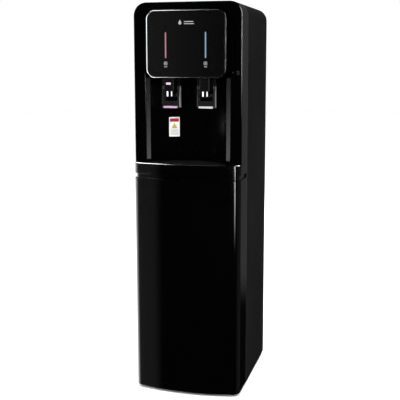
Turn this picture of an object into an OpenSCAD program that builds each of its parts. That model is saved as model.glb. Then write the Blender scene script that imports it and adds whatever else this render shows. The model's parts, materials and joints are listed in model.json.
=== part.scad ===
// Floor-standing hot and cold water dispenser, in millimetres.
// +Z is up, -Y is the front, and the origin is on the floor under the middle of the whole box.

/* [Overall size] */
// Width across the side panels
body_w = 304; // [300:2:316]
// Height to the top of the cover
body_h = 1090; // [1080:5:1120]
// Depth from the rear face to the middle of the bowed front
body_d = 378; // [370:2:390]
// How far the lower front bows out past the front frame
front_bow = 36; // [34:1:38]
// Radius of the bowed front, seen from above
bow_r = 553; // [540:1:620]
// Radius of the two rounded top corners
top_r = 36; // [30:1:42]

/* [Shell] */
// Wall of the moulded covers
wall = 3; // [2.5:0.25:3.5]
// Thickness of the steel sheet
sheet = 1.2; // [1:0.1:1.5]
// Gap between neighbouring covers
seam = 0.4; // [0.3:0.05:0.6]
// Depth of the side wraps of the front mouldings
wrap_d = 72; // [68:1:76]
// Radius of the lower front's upright corners
corner_r = 18; // [15:1:22]
// Height of the foot of the panels above the floor
skirt_z = 8; // [6:0.5:9]

/* [Lower front] */
// Height of the top edge of the lower door
door_top = 614; // [600:1:618]
// Height of the upper edge of the groove between door and tray housing
groove_top = 626; // [622:1:632]
// Depth of that groove
groove_d = 5; // [3:0.5:6]
// Height of the deck that holds the drip tray
deck_z = 656; // [650:1:662]
// Rise of the ledge behind the drip tray
ledge_h = 8; // [5:1:10]

/* [Niche] */
// Width of the niche between its posts
niche_w = 238; // [230:1:240]
// Depth of the niche behind the face of the front frame
niche_d = 78; // [74:1:80]
// Height of the niche ceiling
niche_top = 888; // [880:1:892]

/* [Head] */
// Width of the control head
head_w = 222; // [216:1:224]
// Height of the top edge of the control head
head_top = 1068; // [1060:1:1070]
// Corner radius of the control head
head_r = 24; // [20:1:28]
// How far the control head stands out of the front frame
head_proud = 16; // [14:1:20]
// Visible width of the silver trim ring
rim_w = 5; // [4:0.5:6]

/* [Taps] */
// Distance of each tap from the middle
tap_x = 50; // [48:1:54]
// Width of the spout block
spout_w = 28; // [26:1:34]
// Width of a push lever
lever_w = 51; // [50:1:54]
// Height of the lever's hinge above the floor
lever_z = 860; // [858:1:861]
// Height of the lever's lower edge
lever_foot = 806; // [800:1:810]
// Radius of the lever's hinge pin
pin_r = 2.5; // [2:0.25:3]

/* [Inside] */
// Radius of a filter cartridge
filter_r = 27; // [24:1:30]
// Distance between the filter cartridges
filter_pitch = 82; // [78:1:84]
// Radius of the cold tank
cold_r = 66; // [60:1:68]
// Radius of the hot tank
hot_r = 58; // [50:1:60]
// Radius of the compressor's shell
pump_r = 62; // [55:1:64]

/* [Hidden] */
$fn = 64;
e = 1; // overshoot of a cut
fit = 0.15; // radial play of a pin in its bore

y_front = -body_d / 2;
y_rear = body_d / 2;
y_frame = y_front + front_bow;
y_wrap = y_frame + wrap_d;
half_w = body_w / 2;
inner_x = half_w - sheet;

bow_cy = y_front + bow_r;
corner_cx = half_w - corner_r;
corner_cy = bow_cy - sqrt(pow(bow_r - corner_r, 2) - pow(corner_cx, 2));

niche_mouth = y_frame + wall;
niche_reach = niche_d - wall;
niche_r = (pow(niche_w / 2, 2) + pow(niche_reach, 2)) / (2 * niche_reach);
niche_cy = y_frame + niche_d - niche_r;
niche_t = 2.5;
flange_w = 11.5;
flange_d = 3;

opening_top = head_top + 5;
opening_r = head_r + 3;
lip_t = 2;
lip_d = 12;

head_cz = (head_top + niche_top) / 2;
head_h = head_top - niche_top;
rim_t = 3;
y_rim = y_frame - head_proud;
y_head = y_rim + rim_t;
y_head_back = y_frame + lip_d + 2;
glass_gap = 0.1;
glass_t = 2.4;
y_glass = y_head - 0.6;
board_y = y_head + 6;
board_t = 1.6;
board_w = 176;
board_h = 128;
pillar_x = 76;
pillar_z = 52;
pillar_r = 4;
bar_w = 5;
bar_h = 68;
bar_cx = 55.5;
bar_cz = 975;

tap_y0 = y_frame - 9;
tap_y1 = y_frame + 12;
tap_y2 = y_frame + 50;
tap_top = niche_top - 0.4;
tap_foot = 852;
bracket_z = 868;
cheek_w = 40;
shank_r = 9;
shank_z = 876;
shank_end = -66;
wall_pad_y = -76.5;
pad_y = -96;
pad_w = 30;
nut_t = 7;
nozzle_r = 10;
nozzle_y = y_frame + 2;
nozzle_foot = 838;
spigot_r = 7.5;
water_r = 4;
lever_y = y_frame + 18;
lever_plate_top = 826;
plunger_z = 840;
plunger_r = 3;
plunger_y = lever_y + 6.3;
boss_y0 = y_frame + 30;
boss_y1 = y_frame + 56;
chamber_r = 5;
spring_turns = 5;
spring_wire_r = 0.5;
spring_r = 3.9;
lock_w = 13.5;
lock_h = 6;
lock_z = 873;
lock_play = 0.3;
boss_w = 16;
boss_drop = 8;
chamber_y0 = boss_y0 + 8;
chamber_y1 = boss_y1 - 3;
spring_y1 = boss_y1 - 3.1;
spring_l = boss_y1 - boss_y0 - 13.6;
nozzle_bore = 5;
lever_y0 = lever_y - 8;
lever_arm_y1 = lever_y + 6;
lever_plate_y1 = lever_y - 2;
lever_lip_y0 = lever_y - 14;
lever_lip_h = 10;
lever_hub_r = 7;
tap_nut_r = 15;

label_x = -57;
label_w = 27;
label_z = [723, 778];

tray_front = 9;
tray_back = 14;
tray_half = 116;
tray_floor = 636;
tray_t = 2.5;
tray_play = 0.6;
tray_rim_z = deck_z + 1.5;
grille_t = 4;
grille_z = deck_z - 1;
slot_w = 4.5;
slot_pitch = 9;
slot_rows = 10;

plate_z = 12;
plate_w = 295;
plate_y = -128;
plate_t = 2;
plate_top = plate_z + plate_t;
plate_back = y_rear - 4;
plate_step = 5.5;
plate_end = 12.5;
plate_edge_z = plate_top + 20;
foot_r = 17;
foot_x = 112;
foot_ys = [-118, 150];
foot_recess_r = 8;
foot_recess_z = 6;
bolt_r = 3;
bolt_head_r = 6;
bolt_head_z = 2.5;
bolt_over = 8;
bolt_nut_h = 5;

panel_top = body_h - top_r - seam;
fold_front = 9;
fold_rear = 16;
fold_foot = 12;

post_x0 = 130;
post_x1 = 146;
post_y = [-78, 150];
post_d = 16;
post_t = 1.5;
post_top = 1040;
beam_t = 2;
beam_z = [540, 592];
top_beam_z = [1020, post_top];
sill_h = 16;
feed_z = 564;
feed_hole_r = 5;
clip_x = 138;
clip_r = 3;
clip_zs = [80, 560];
clip_play = 0.3;

shelf_y = [-45, 140];
shelf_t = 1.5;
shelf_drop = 14;
lower_shelf_z = 420;
upper_shelf_z = 740;
foam_y = [-40, 132];
foam_x = 112;
foam_z = [741.5, 990];
tank_y = 46;
cold_z = [776, 950];
coil_r = 3.5;
coil_turns = 7;
coil_gap = 0.8;
hot_x = -70;
hot_y = 50;
hot_top = 600;
tank_wall = 1.5;

pump_x = -30;
pump_y = 75;
pump_z = 30;
pump_wall = 4;
grommet_x = 58;
grommet_y = 52;
grommet_r = 9;

manifold_w = 252;
manifold_y = -128;
manifold_z = [546, 582];
filter_y = -106;
filter_z = 225;
neck_r = 14;

rear_sheet_y = y_rear - 2.8;
cond_y = 174;
cond_x = 92;
cond_z0 = 312;
cond_pitch = 36;
cond_runs = 11;
cond_r = 3;
cond_end_z = cond_z0 + (cond_runs - 1) * cond_pitch;
drier_z = [732, 802];
suction_x = -106;
suction_y = 150;
suction_r = 4;
capillary_r = 1.5;
hose_r = 4;
hose_y = -60;
feed_y = -56;
valve_y = [142, 166];
valve_w = 28;
valve_h = 20;
bay_x = 116;
bay_y = 162;
bay_z = [284, 706];
switch_x = 84;
switch_z = 930;
switch_gap = 34;
switch_w = 14;
switch_h = 21;
switch_tilt = 8;
inlet_x = 60;
inlet_z = 230;
inlet_r = 3.2;
fitting_r = 8;
gland_x = -90;
gland_z = 130;
gland_r = 9;
cord_r = 3.6;
drain_x = -20;
drain_z = 250;
screw_zs = [40, 270, 520, 760, 1030];
screw_x = 142;
screw_l = 7;
screw_r = 1.5;
screw_play = 0.1;
screw_head_r = 3.2;
screw_head_t = 2;
rear_top_gap = 4;
louvre_h = 4;
louvre_pitch = 12;
upper_louvre_z = 770;
upper_louvre_w = 80;
upper_louvre_xs = [-100, 20];
lower_louvre_z = 50;
lower_louvre_w = 60;
lower_louvre_xs = [-40, 40];
switch_play = 0.6;
switch_axle_r = 1;
switch_bezel = 2;

// ---- helpers ----

// A box between two corners
module box(a, b) translate(a) cube(b - a);

// A box centred on x = 0
module mid_box(w, y0, y1, z0, z1) box([-w / 2, y0, z0], [w / 2, y1, z1]);

// The same shape on both sides of the middle
module both_sides() for (s = [-1, 1]) scale_x(s) children();

module scale_x(s) if (s < 0) mirror([1, 0, 0]) children(); else children();

// An outline drawn in X and Z, made solid from y0 back to y1
module along_y(y0, y1) translate([0, y1, 0]) rotate([90, 0, 0]) linear_extrude(y1 - y0) children();

// An outline drawn in X and Y, made solid from z0 up to z1
module along_z(z0, z1) translate([0, 0, z0]) linear_extrude(z1 - z0) children();

// A round rod along Y
module rod_y(x, z, r, y0, y1) translate([x, y1, z]) rotate([90, 0, 0]) cylinder(h = y1 - y0, r = r);

// A round rod along X
module rod_x(y, z, r, x0, x1) translate([x0, y, z]) rotate([0, 90, 0]) cylinder(h = x1 - x0, r = r);

// A round rod along Z
module rod_z(x, y, r, z0, z1) translate([x, y, z0]) cylinder(h = z1 - z0, r = r);

// A rectangle with rounded corners, centred on the origin
module round_rect(w, h, r) {
    square([w, h - 2 * r], center = true);
    square([w - 2 * r, h], center = true);
    for (x = [-1, 1], y = [-1, 1]) translate([x * (w / 2 - r), y * (h / 2 - r)]) circle(r);
}

// The arch of the front frame and the top cover, with its wall taken in by inset
module arch_outline(inset, z0) {
    half = half_w - inset;
    top = body_h - inset;
    r = top_r - inset;
    translate([-half, z0]) square([2 * half, top - r - z0]);
    translate([r - half, z0]) square([2 * (half - r), top - z0]);
    for (s = [-1, 1]) translate([s * (half - r), top - r]) circle(r);
}

// The opening of the front frame: the niche with the head's recess above it
module opening_outline(grow, z0) {
    half = niche_w / 2 + grow;
    top = opening_top + grow;
    r = opening_r + grow;
    translate([-half, z0]) square([2 * half, top - r - z0]);
    translate([r - half, z0]) square([2 * (half - r), top - z0]);
    for (s = [-1, 1]) translate([s * (half - r), top - r]) circle(r);
}

// The bowed lower front seen from above, with its wall taken in by inset
module bow_outline(inset, y_back) {
    half = half_w - inset;
    touch = (bow_r - inset) * corner_cx / (bow_r - corner_r);
    intersection() {
        translate([0, bow_cy]) circle(bow_r - inset, $fn = 360);
        translate([-touch, y_front - e]) square([2 * touch, y_back - y_front + e]);
    }
    translate([-half, corner_cy]) square([2 * half, y_back - corner_cy]);
    for (s = [-1, 1]) translate([s * corner_cx, corner_cy]) circle(corner_r - inset);
}

// The round plan of the niche, behind the face of the front frame
module niche_outline(grow, y0) intersection() {
    translate([0, niche_cy]) circle(niche_r + grow, $fn = 180);
    translate([-half_w, y0]) square([body_w, wrap_d * 2]);
}

// The lens-shaped plan of the drip tray
module tray_outline(inset) intersection() {
    translate([0, bow_cy]) circle(bow_r - tray_front - inset, $fn = 360);
    translate([0, niche_cy]) circle(niche_r - tray_back - inset, $fn = 180);
    translate([inset - tray_half, y_front]) square([2 * (tray_half - inset), body_d]);
}

// The rounded face of the control head, taken in by inset
module head_outline(inset) translate([0, head_cz])
    round_rect(head_w - 2 * inset, head_h - 2 * inset, head_r - inset);

// A pipe of radius r through the given points, with round elbows
module pipe(points, r) {
    for (i = [0:len(points) - 2]) {
        step = points[i + 1] - points[i];
        translate(points[i]) rotate([0, acos(step.z / norm(step)), atan2(step.y, step.x)])
            cylinder(h = norm(step), r = r, $fn = 24);
    }
    for (i = [1:1:len(points) - 2]) translate(points[i]) sphere(r, $fn = 24);
}

// A helix of round wire about Z, swept with flat sides
module helix(radius, wire_r, z0, z1, turns, steps, sides) {
    rings = turns * steps;
    rise = (z1 - z0 - 2 * wire_r) / rings;
    points = [for (i = [0:rings], j = [0:sides - 1])
        let (a = 360 * i / steps, b = 360 * j / sides, d = radius + wire_r * cos(b))
        [d * cos(a), d * sin(a), z0 + wire_r + rise * i + wire_r * sin(b)]];
    skin = [for (i = [0:rings - 1], j = [0:sides - 1])
        let (n = (j + 1) % sides, base = i * sides)
        [base + j, base + sides + j, base + sides + n, base + n]];
    polyhedron(points, concat(skin, [[for (j = [0:sides - 1]) j]],
        [[for (j = [sides - 1:-1:0]) rings * sides + j]]), convexity = 6);
}

// ---- base ----

module base_plate() color("#55585a") difference() {
    union() {
        mid_box(plate_w, post_y[0], plate_back, plate_z, plate_top);
        mid_box(plate_w - 2 * plate_step, plate_y, post_y[0] + e, plate_z, plate_top);
        both_sides() box([plate_w / 2 - sheet, post_y[0], plate_z], [plate_w / 2, plate_back, plate_edge_z]);
        mid_box(plate_w - 2 * plate_end, plate_y, plate_y + sheet, plate_z, plate_edge_z);
    }
    for (x = [-foot_x, foot_x], y = foot_ys) rod_z(x, y, bolt_r + fit, plate_z - e, plate_top + e);
}

module feet() color("#1c1c1c") for (x = [-foot_x, foot_x], y = foot_ys) difference() {
    rod_z(x, y, foot_r, 0, plate_z);
    rod_z(x, y, foot_recess_r, -e, foot_recess_z);
    rod_z(x, y, bolt_r + fit, -e, plate_z + e);
}

module foot_bolts() color("silver") for (x = [-foot_x, foot_x], y = foot_ys) {
    rod_z(x, y, bolt_head_r, bolt_head_z, foot_recess_z);
    rod_z(x, y, bolt_r, bolt_head_z, plate_top + bolt_over);
    translate([x, y, plate_top]) cylinder(h = bolt_nut_h, r = bolt_head_r, $fn = 6);
}

// ---- steel cabinet ----

module side_panel() color("#242424") {
    y0 = y_wrap + seam;
    box([inner_x, y0, skirt_z], [half_w, y_rear, panel_top]);
    box([half_w - fold_front, y0, skirt_z], [half_w, y0 + sheet, panel_top]);
    box([half_w - fold_rear, y_rear - sheet, skirt_z], [half_w, y_rear, panel_top]);
    box([half_w - fold_foot, y0, plate_z - sheet], [half_w, y_rear, plate_z]);
}

module louvre_row(x, z, w) box([x, rear_sheet_y - e, z], [x + w, y_rear, z + louvre_h]);

module rear_panel() color("#2b2b2b") difference() {
    union() {
        mid_box(2 * (inner_x - seam), rear_sheet_y, rear_sheet_y + sheet, plate_top,
            body_h - top_r - rear_top_gap);
        mid_box(2 * bay_x + 2 * sheet, bay_y - sheet, rear_sheet_y + e, bay_z[0] - sheet, bay_z[1] + sheet);
    }
    mid_box(2 * bay_x, bay_y, y_rear, bay_z[0], bay_z[1]);
    for (i = [0:9], x = upper_louvre_xs) louvre_row(x, upper_louvre_z + i * louvre_pitch, upper_louvre_w);
    for (i = [0:7], x = lower_louvre_xs) louvre_row(x, lower_louvre_z + i * louvre_pitch, lower_louvre_w);
    for (i = [0, 1]) translate([switch_x - i * switch_gap, y_rear, switch_z])
        cube([switch_w + switch_play, 9, switch_h + switch_play], center = true);
    rod_y(inlet_x, inlet_z, fitting_r + fit, rear_sheet_y - e, y_rear);
    rod_y(gland_x, gland_z, gland_r + fit, rear_sheet_y - e, y_rear);
    rod_y(drain_x, drain_z, fitting_r + fit, rear_sheet_y - e, y_rear);
    for (s = [-1, 1]) rod_z(s * cond_x, cond_y, cond_r + 1, bay_z[0] - 5, bay_z[1] + 5);
    for (x = [-screw_x, screw_x], z = screw_zs) rod_y(x, z, screw_r + screw_play, rear_sheet_y - e, y_rear);
}

module rear_panel_screws() color("silver") for (x = [-screw_x, screw_x], z = screw_zs) {
    rod_y(x, z, screw_r, rear_sheet_y - screw_l, rear_sheet_y);
    rod_y(x, z, screw_head_r, rear_sheet_y - screw_head_t, rear_sheet_y);
}

module top_cover() color("#141414") {
    y0 = y_wrap + seam;
    z0 = body_h - top_r;
    difference() {
        along_y(y0, y_rear) arch_outline(0, z0 - 2 * top_r);
        along_y(y0 - e, y_rear - wall) arch_outline(wall, z0 - 3 * top_r);
        mid_box(body_w + 2 * e, y0 - 2 * e, y_rear + e, z0 - 4 * top_r, z0);
    }
}

module chassis_frame() color("#8a8d8f") difference() {
    union() {
        both_sides() for (i = [0, 1]) {
            z1 = i == 0 ? deck_z - 2 * wall : post_top;
            box([post_x0, post_y[i], plate_top], [post_x1, post_y[i] + post_t, z1]);
            box([post_x0, post_y[i], plate_top], [post_x0 + post_t, post_y[i] + post_d, z1]);
        }
        both_sides() box([post_x0, post_y[0], plate_top],
            [post_x0 + post_t, post_y[1] + beam_t, plate_top + sill_h]);
        mid_box(2 * post_x0 + e, post_y[0], post_y[0] + beam_t, beam_z[0], beam_z[1]);
        mid_box(2 * post_x0 + e, post_y[1], post_y[1] + beam_t, top_beam_z[0], top_beam_z[1]);
    }
    both_sides() for (z = clip_zs) rod_y(clip_x, z, clip_r + clip_play, post_y[0] - e, post_y[0] + 6);
    rod_y(inlet_x, feed_z, feed_hole_r, post_y[0] - e, post_y[0] + 6);
}

module shelf(z) color("#9a9d9f") {
    mid_box(2 * inner_x, shelf_y[0], shelf_y[1], z, z + shelf_t);
    both_sides() box([inner_x - shelf_t, shelf_y[0], z - shelf_drop], [inner_x, shelf_y[1], z + e]);
}

// ---- moulded front ----

module front_frame() color("#0d0d0d") difference() {
    union() {
        difference() {
            along_y(y_frame, y_wrap) arch_outline(0, deck_z + seam);
            along_y(y_frame + wall, y_wrap + e) arch_outline(wall, deck_z - e);
        }
        along_y(y_frame + 1, y_frame + lip_d) opening_outline(lip_t, niche_top + 4);
    }
    along_y(y_frame - e, y_frame + lip_d + e) opening_outline(0, deck_z - e);
}

module niche_panel() color("#0a0a0a") difference() {
    union() {
        difference() {
            along_z(deck_z + seam, niche_top + 2.5) niche_outline(niche_t, niche_mouth);
            along_z(deck_z - e, niche_top) niche_outline(0, niche_mouth - e);
            along_z(niche_top - e, niche_top + 4) translate([0, y_head_back - half_w + 0.1])
                square(body_w, center = true);
        }
        for (s = [-1, 1]) difference() {
            box([s * tap_x - pad_w / 2, pad_y, tap_foot], [s * tap_x + pad_w / 2, wall_pad_y, niche_top]);
            along_z(tap_foot - e, niche_top + e) niche_outline(0.5, niche_mouth);
        }
        both_sides() niche_flange();
    }
    for (s = [-1, 1]) rod_y(s * tap_x, shank_z, shank_r + fit, -120, -60);
}

// The slanted face along each upright edge of the niche
module niche_flange() along_z(deck_z + ledge_h + seam, niche_top - seam) intersection() {
    niche_outline(1, niche_mouth);
    polygon([[niche_w / 2 + 1, niche_mouth - 1], [niche_w / 2, niche_mouth],
        [niche_w / 2 - flange_w, niche_mouth + flange_d], [niche_w / 2 - flange_w, 0],
        [niche_w / 2 + 1, 0]]);
}

module head_housing() color("#101010") {
    difference() {
        along_y(y_head, y_head_back) head_outline(0);
        along_y(y_head - e, y_frame + lip_d) head_outline(wall);
    }
    along_y(y_frame + lip_d, y_head_back) intersection() {
        opening_outline(-0.3, niche_top);
        translate([-half_w, niche_top]) square([body_w, head_h + 20]);
    }
    for (x = [-pillar_x, pillar_x], z = [head_cz - pillar_z, head_cz + pillar_z])
        rod_y(x, z, pillar_r, board_y + board_t, y_head_back - e);
}

module head_trim_ring() color("silver") {
    along_y(y_rim, y_head) difference() {
        head_outline(0);
        head_outline(rim_w);
    }
    along_y(y_glass, y_head + 2) difference() {
        head_outline(wall + 0.2);
        head_outline(rim_w + 3);
    }
}

module bar_outline(s, grow) translate([s * bar_cx, bar_cz])
    round_rect(bar_w + 2 * grow, bar_h + 2 * grow, bar_w / 2 + grow - 0.01);

module control_glass() color("#151515") difference() {
    along_y(y_glass - glass_t, y_glass) head_outline(rim_w + glass_gap);
    for (s = [-1, 1]) along_y(y_rim - e, y_head) bar_outline(s, glass_gap);
}

module light_bar(s, c) color(c) along_y(y_glass - glass_t, board_y) bar_outline(s, 0);

module control_board() color("darkgreen") {
    along_y(board_y, board_y + board_t) translate([0, head_cz]) square([board_w, board_h], center = true);
    for (x = [-30, 0, 30]) box([x - 6, board_y + 1, head_cz - 6], [x + 6, board_y + 4, head_cz + 6]);
    mid_box(36, board_y + 1, board_y + 8, head_cz - 58, head_cz - 50);
}

module tray_housing() color("#0d0d0d") {
    difference() {
        along_z(groove_top, deck_z) bow_outline(0, y_wrap);
        along_z(groove_top - e, deck_z - wall) bow_outline(wall, y_wrap + e);
        along_z(deck_z - wall - e, deck_z + e) tray_outline(-0.1);
    }
    along_z(door_top + seam, groove_top) difference() {
        bow_outline(groove_d, y_wrap);
        bow_outline(groove_d + wall, y_wrap + e);
    }
    along_z(groove_top, groove_top + wall) difference() {
        bow_outline(1, y_wrap);
        bow_outline(groove_d + wall, y_wrap + e);
    }
    along_z(deck_z - wall, deck_z) difference() {
        niche_outline(niche_t + 1, y_wrap - 4);
        tray_outline(-0.1);
    }
    along_z(deck_z - 1, deck_z + ledge_h) difference() {
        niche_outline(-0.1, y_frame + 20);
        tray_outline(-1);
    }
    difference() {
        along_z(tray_floor - wall, deck_z - 1) tray_outline(-2.5);
        along_z(tray_floor, deck_z) tray_outline(-0.1);
    }
}

module drip_tray() color("#161616") {
    difference() {
        along_z(tray_floor + 0.3, tray_rim_z) tray_outline(tray_play);
        along_z(tray_floor + 0.3 + tray_t, tray_rim_z + e) tray_outline(tray_play + tray_t);
    }
    along_z(tray_floor + 1, grille_z - grille_t - 0.1) difference() {
        tray_outline(tray_play + 1);
        tray_outline(tray_play + tray_t + 3);
    }
}

module tray_grille() color("#1a1a1a") difference() {
    along_z(grille_z - grille_t + 0.3, grille_z) tray_outline(tray_play + tray_t + 0.5);
    for (i = [0:slot_rows - 1]) {
        y = y_front + tray_front + 16 + i * slot_pitch;
        half = slot_half(y);
        for (x0 = [-half, 4]) if (half > 20)
            box([x0, y, grille_z - 9], [x0 + half - 4, y + slot_w, grille_z + e]);
    }
}

// Half the width of the grille that a slot may take at depth y
function slot_half(y) = min(tray_half - 10,
    sqrt(max(0, pow(niche_r - tray_back - 9, 2) - pow(y + slot_w - niche_cy, 2))),
    y - y_front < 30 ? 62 : tray_half);

module lower_door() color("#0b0b0b") {
    difference() {
        along_z(skirt_z, door_top) bow_outline(0, y_wrap);
        along_z(skirt_z + wall, door_top - wall) bow_outline(wall, y_wrap + e);
        along_z(skirt_z - e, door_top + e) bow_outline(groove_d + wall + 6, y_wrap + e);
    }
    both_sides() for (z = clip_zs) {
        box([clip_x - 6, y_wrap - 3, z - 10], [half_w - 1, y_wrap, z + 10]);
        rod_y(clip_x, z, clip_r, y_wrap - 1, post_y[0] + 5);
    }
}

module card_label() color("white") intersection() {
    along_z(label_z[0], label_z[1]) difference() {
        niche_outline(0, niche_mouth);
        niche_outline(-0.4, niche_mouth - e);
    }
    box([label_x - label_w / 2, y_frame, label_z[0]], [label_x + label_w / 2, 0, label_z[1]]);
}

// ---- taps: each is drawn about x = 0 ----

module at_tap(s) translate([s * tap_x, 0, 0]) children();

module tap_body() color("#0c0c0c") difference() {
    union() {
        mid_box(spout_w, tap_y0, tap_y1 + e, tap_foot, tap_top);
        mid_box(lever_w, tap_y1, tap_y2, bracket_z, tap_top);
        mid_box(cheek_w, tap_y1, tap_y2, tap_foot, bracket_z + e);
        mid_box(boss_w, boss_y0, boss_y1, plunger_z - boss_drop, tap_foot + e);
        rod_y(0, shank_z, shank_r, tap_y2 - e, shank_end);
    }
    rod_y(0, shank_z, water_r, nozzle_y, shank_end + e);
    rod_z(0, nozzle_y, water_r, tap_foot, shank_z);
    rod_z(0, nozzle_y, spigot_r + 0.05, tap_foot - e, tap_foot + 8);
    rod_x(lever_y, lever_z, pin_r, -lever_w, lever_w);
    rod_y(0, plunger_z, plunger_r + fit, boss_y0 - e, chamber_y0 + e);
    rod_y(0, plunger_z, chamber_r, chamber_y0, chamber_y1);
}

module lock_pocket() mid_box(lock_w + 2 * lock_play, tap_y0 - e, tap_y0 + 9,
    lock_z - lock_h / 2 - lock_play, lock_z + lock_h / 2 + lock_play);

module hot_tap_body() at_tap(-1) difference() {
    tap_body();
    lock_pocket();
}

module child_lock_button() color("hotpink")
    along_y(tap_y0 - 2.5, tap_y0 + 5.5) translate([-tap_x, lock_z]) round_rect(lock_w, lock_h, 1.5);

module nozzle() color("#111111") difference() {
    union() {
        rod_z(0, nozzle_y, nozzle_r, nozzle_foot, tap_foot);
        rod_z(0, nozzle_y, spigot_r, tap_foot - e, tap_foot + 7.8);
    }
    rod_z(0, nozzle_y, nozzle_bore, nozzle_foot - e, tap_foot + 9);
}

module lever(c) color(c) {
    arm = (lever_w - cheek_w) / 2 - 0.4;
    both_sides() difference() {
        translate([lever_w / 2 - arm, 0, 0]) union() {
            box([0, lever_y0, lever_foot], [arm, lever_arm_y1, lever_z]);
            rod_x(lever_y - 1, lever_z, lever_hub_r, 0, arm);
        }
        rod_x(lever_y, lever_z, pin_r + fit, 0, lever_w);
    }
    mid_box(lever_w - 1, lever_y0, lever_plate_y1, lever_foot, lever_plate_top);
    mid_box(cheek_w, lever_lip_y0, lever_y0 + e, lever_foot, lever_foot + lever_lip_h);
    mid_box(lever_w - 1, lever_y + 2, lever_y + 6, plunger_z - 5, plunger_z + 5);
}

module lever_pin() color("silver") rod_x(lever_y, lever_z, pin_r, 0.5 - lever_w / 2, lever_w / 2 - 0.5);

module plunger() color("ivory") {
    rod_y(0, plunger_z, plunger_r, plunger_y, boss_y0 + 17);
    rod_y(0, plunger_z, chamber_r - 0.3, chamber_y0 + 0.4, chamber_y0 + 2.4);
}

module valve_spring() color("silver") translate([0, spring_y1, plunger_z]) rotate([90, 0, 0])
    helix(spring_r, spring_wire_r, 0, spring_l, spring_turns, 16, 6);

module tap_nuts() color("#b5a268") for (s = [-1, 1]) difference() {
    translate([s * tap_x, wall_pad_y + nut_t, shank_z]) rotate([90, 0, 0])
        cylinder(h = nut_t, r = tap_nut_r, $fn = 6);
    rod_y(s * tap_x, shank_z, shank_r, wall_pad_y - e, wall_pad_y + nut_t + e);
}

// ---- cooling, heating and filters ----

// The compressor's shell as a turned outline, with its wall taken in by inset
module pump_profile(inset) {
    dome_r = sqrt(pump_r * pump_r + 1600);
    translate([0, 60 + inset]) square([pump_r - inset, 96 - inset]);
    translate([0, 44 + inset]) square([pump_r - 10 - inset, 17]);
    intersection() {
        translate([0, 116]) circle(dome_r - inset);
        translate([0, 155]) square([pump_r - inset, 60]);
    }
}

module compressor() color("#1f1f1f") translate([pump_x, pump_y, 0]) difference() {
    union() {
        rotate_extrude() pump_profile(0);
        mid_box(140, -60, 60, pump_z, pump_z + 3);
        mid_box(40, -30, 30, pump_z, 46);
        box([pump_r - 10, -18, 90], [pump_r + 22, 18, 140]);
    }
    rotate_extrude() pump_profile(pump_wall);
}

module compressor_mounts() color("#222222") for (x = [-grommet_x, grommet_x], y = [-grommet_y, grommet_y])
    rod_z(pump_x + x, pump_y + y, grommet_r, plate_top, pump_z);

module condenser_coil() color("#151515") {
    for (i = [0:cond_runs - 1]) rod_x(cond_y, cond_z0 + i * cond_pitch, cond_r, -cond_x, cond_x);
    for (i = [0:cond_runs - 2]) {
        s = i % 2 == 0 ? -1 : 1;
        translate([s * cond_x, cond_y, cond_z0 + (i + 0.5) * cond_pitch]) rotate([90, s * 90, 0])
            rotate_extrude(angle = 180) translate([cond_pitch / 2, 0]) circle(cond_r);
    }
    for (x = [-60, 60]) {
        box([x - 8, cond_y - cond_r, cond_z0 - 20], [x + 8, cond_y - 1, cond_end_z + 20]);
        for (z = [cond_z0 - 16, cond_end_z + 6]) box([x - 5, bay_y, z], [x + 5, cond_y - 2, z + 8]);
    }
}

module filter_drier() color("#b87333") {
    rod_z(-cond_x, cond_y, 8, drier_z[0], drier_z[1]);
}

module cold_tank() color("silver") difference() {
    translate([0, tank_y, 0]) {
        rod_z(0, 0, cold_r, cold_z[0], cold_z[1]);
        rod_z(0, 0, 10, cold_z[1] - e, cold_z[1] + 14);
    }
    translate([0, tank_y, 0]) rod_z(0, 0, cold_r - tank_wall, cold_z[0] + tank_wall, cold_z[1] - tank_wall);
}

module tank_insulation() color("whitesmoke") difference() {
    mid_box(2 * foam_x, foam_y[0], foam_y[1], foam_z[0], foam_z[1]);
    translate([0, tank_y, 0]) rod_z(0, 0, cold_r + 2 * (coil_r + coil_gap), cold_z[0], cold_z[1] + 16);
}

module evaporator_coil() color("#b87333") translate([0, tank_y, 0])
    helix(cold_r + coil_r + coil_gap, coil_r, cold_z[0] + 10, cold_z[1] - 30, coil_turns, 28, 8);

module hot_tank() color("silver") translate([hot_x, hot_y, 0]) difference() {
    union() {
        rod_z(0, 0, hot_r, lower_shelf_z + 8, hot_top);
        rod_z(0, 0, hot_r + 2, lower_shelf_z + 30, lower_shelf_z + 62);
        rod_z(0, 0, hot_r - 12, lower_shelf_z + 1.5, lower_shelf_z + 9);
    }
    rod_z(0, 0, hot_r - tank_wall, lower_shelf_z + 8 + tank_wall, hot_top - tank_wall);
}

module thermostat() color("#333333") translate([hot_x + 25, hot_y, 0]) {
    rod_z(0, 0, 9, hot_top, hot_top + 6);
    mid_box(24, -4, 4, hot_top, hot_top + 2);
}

module filter_manifold() color("#e8e8e8") difference() {
    union() {
        mid_box(manifold_w, manifold_y, post_y[0], manifold_z[0] + 12, manifold_z[1]);
        for (i = [-1:1]) rod_z(i * filter_pitch, filter_y, neck_r + 6, manifold_z[0], manifold_z[1]);
    }
    for (i = [-1:1]) rod_z(i * filter_pitch, filter_y, neck_r + 0.2, manifold_z[0] - e, manifold_z[1] - 8);
}

module filter_cartridge(i, c) color(c) translate([i * filter_pitch, filter_y, 0]) {
    rod_z(0, 0, filter_r, filter_z + 8, manifold_z[0] - 8);
    rod_z(0, 0, filter_r - 5, filter_z, manifold_z[0] - 3);
    rod_z(0, 0, neck_r, manifold_z[0] - 4, manifold_z[1] - 10);
    for (a = [0:30:150]) rotate([0, 0, a])
        box([-filter_r - 1, -1.5, filter_z + 10], [filter_r + 1, 1.5, filter_z + 40]);
}

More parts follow.
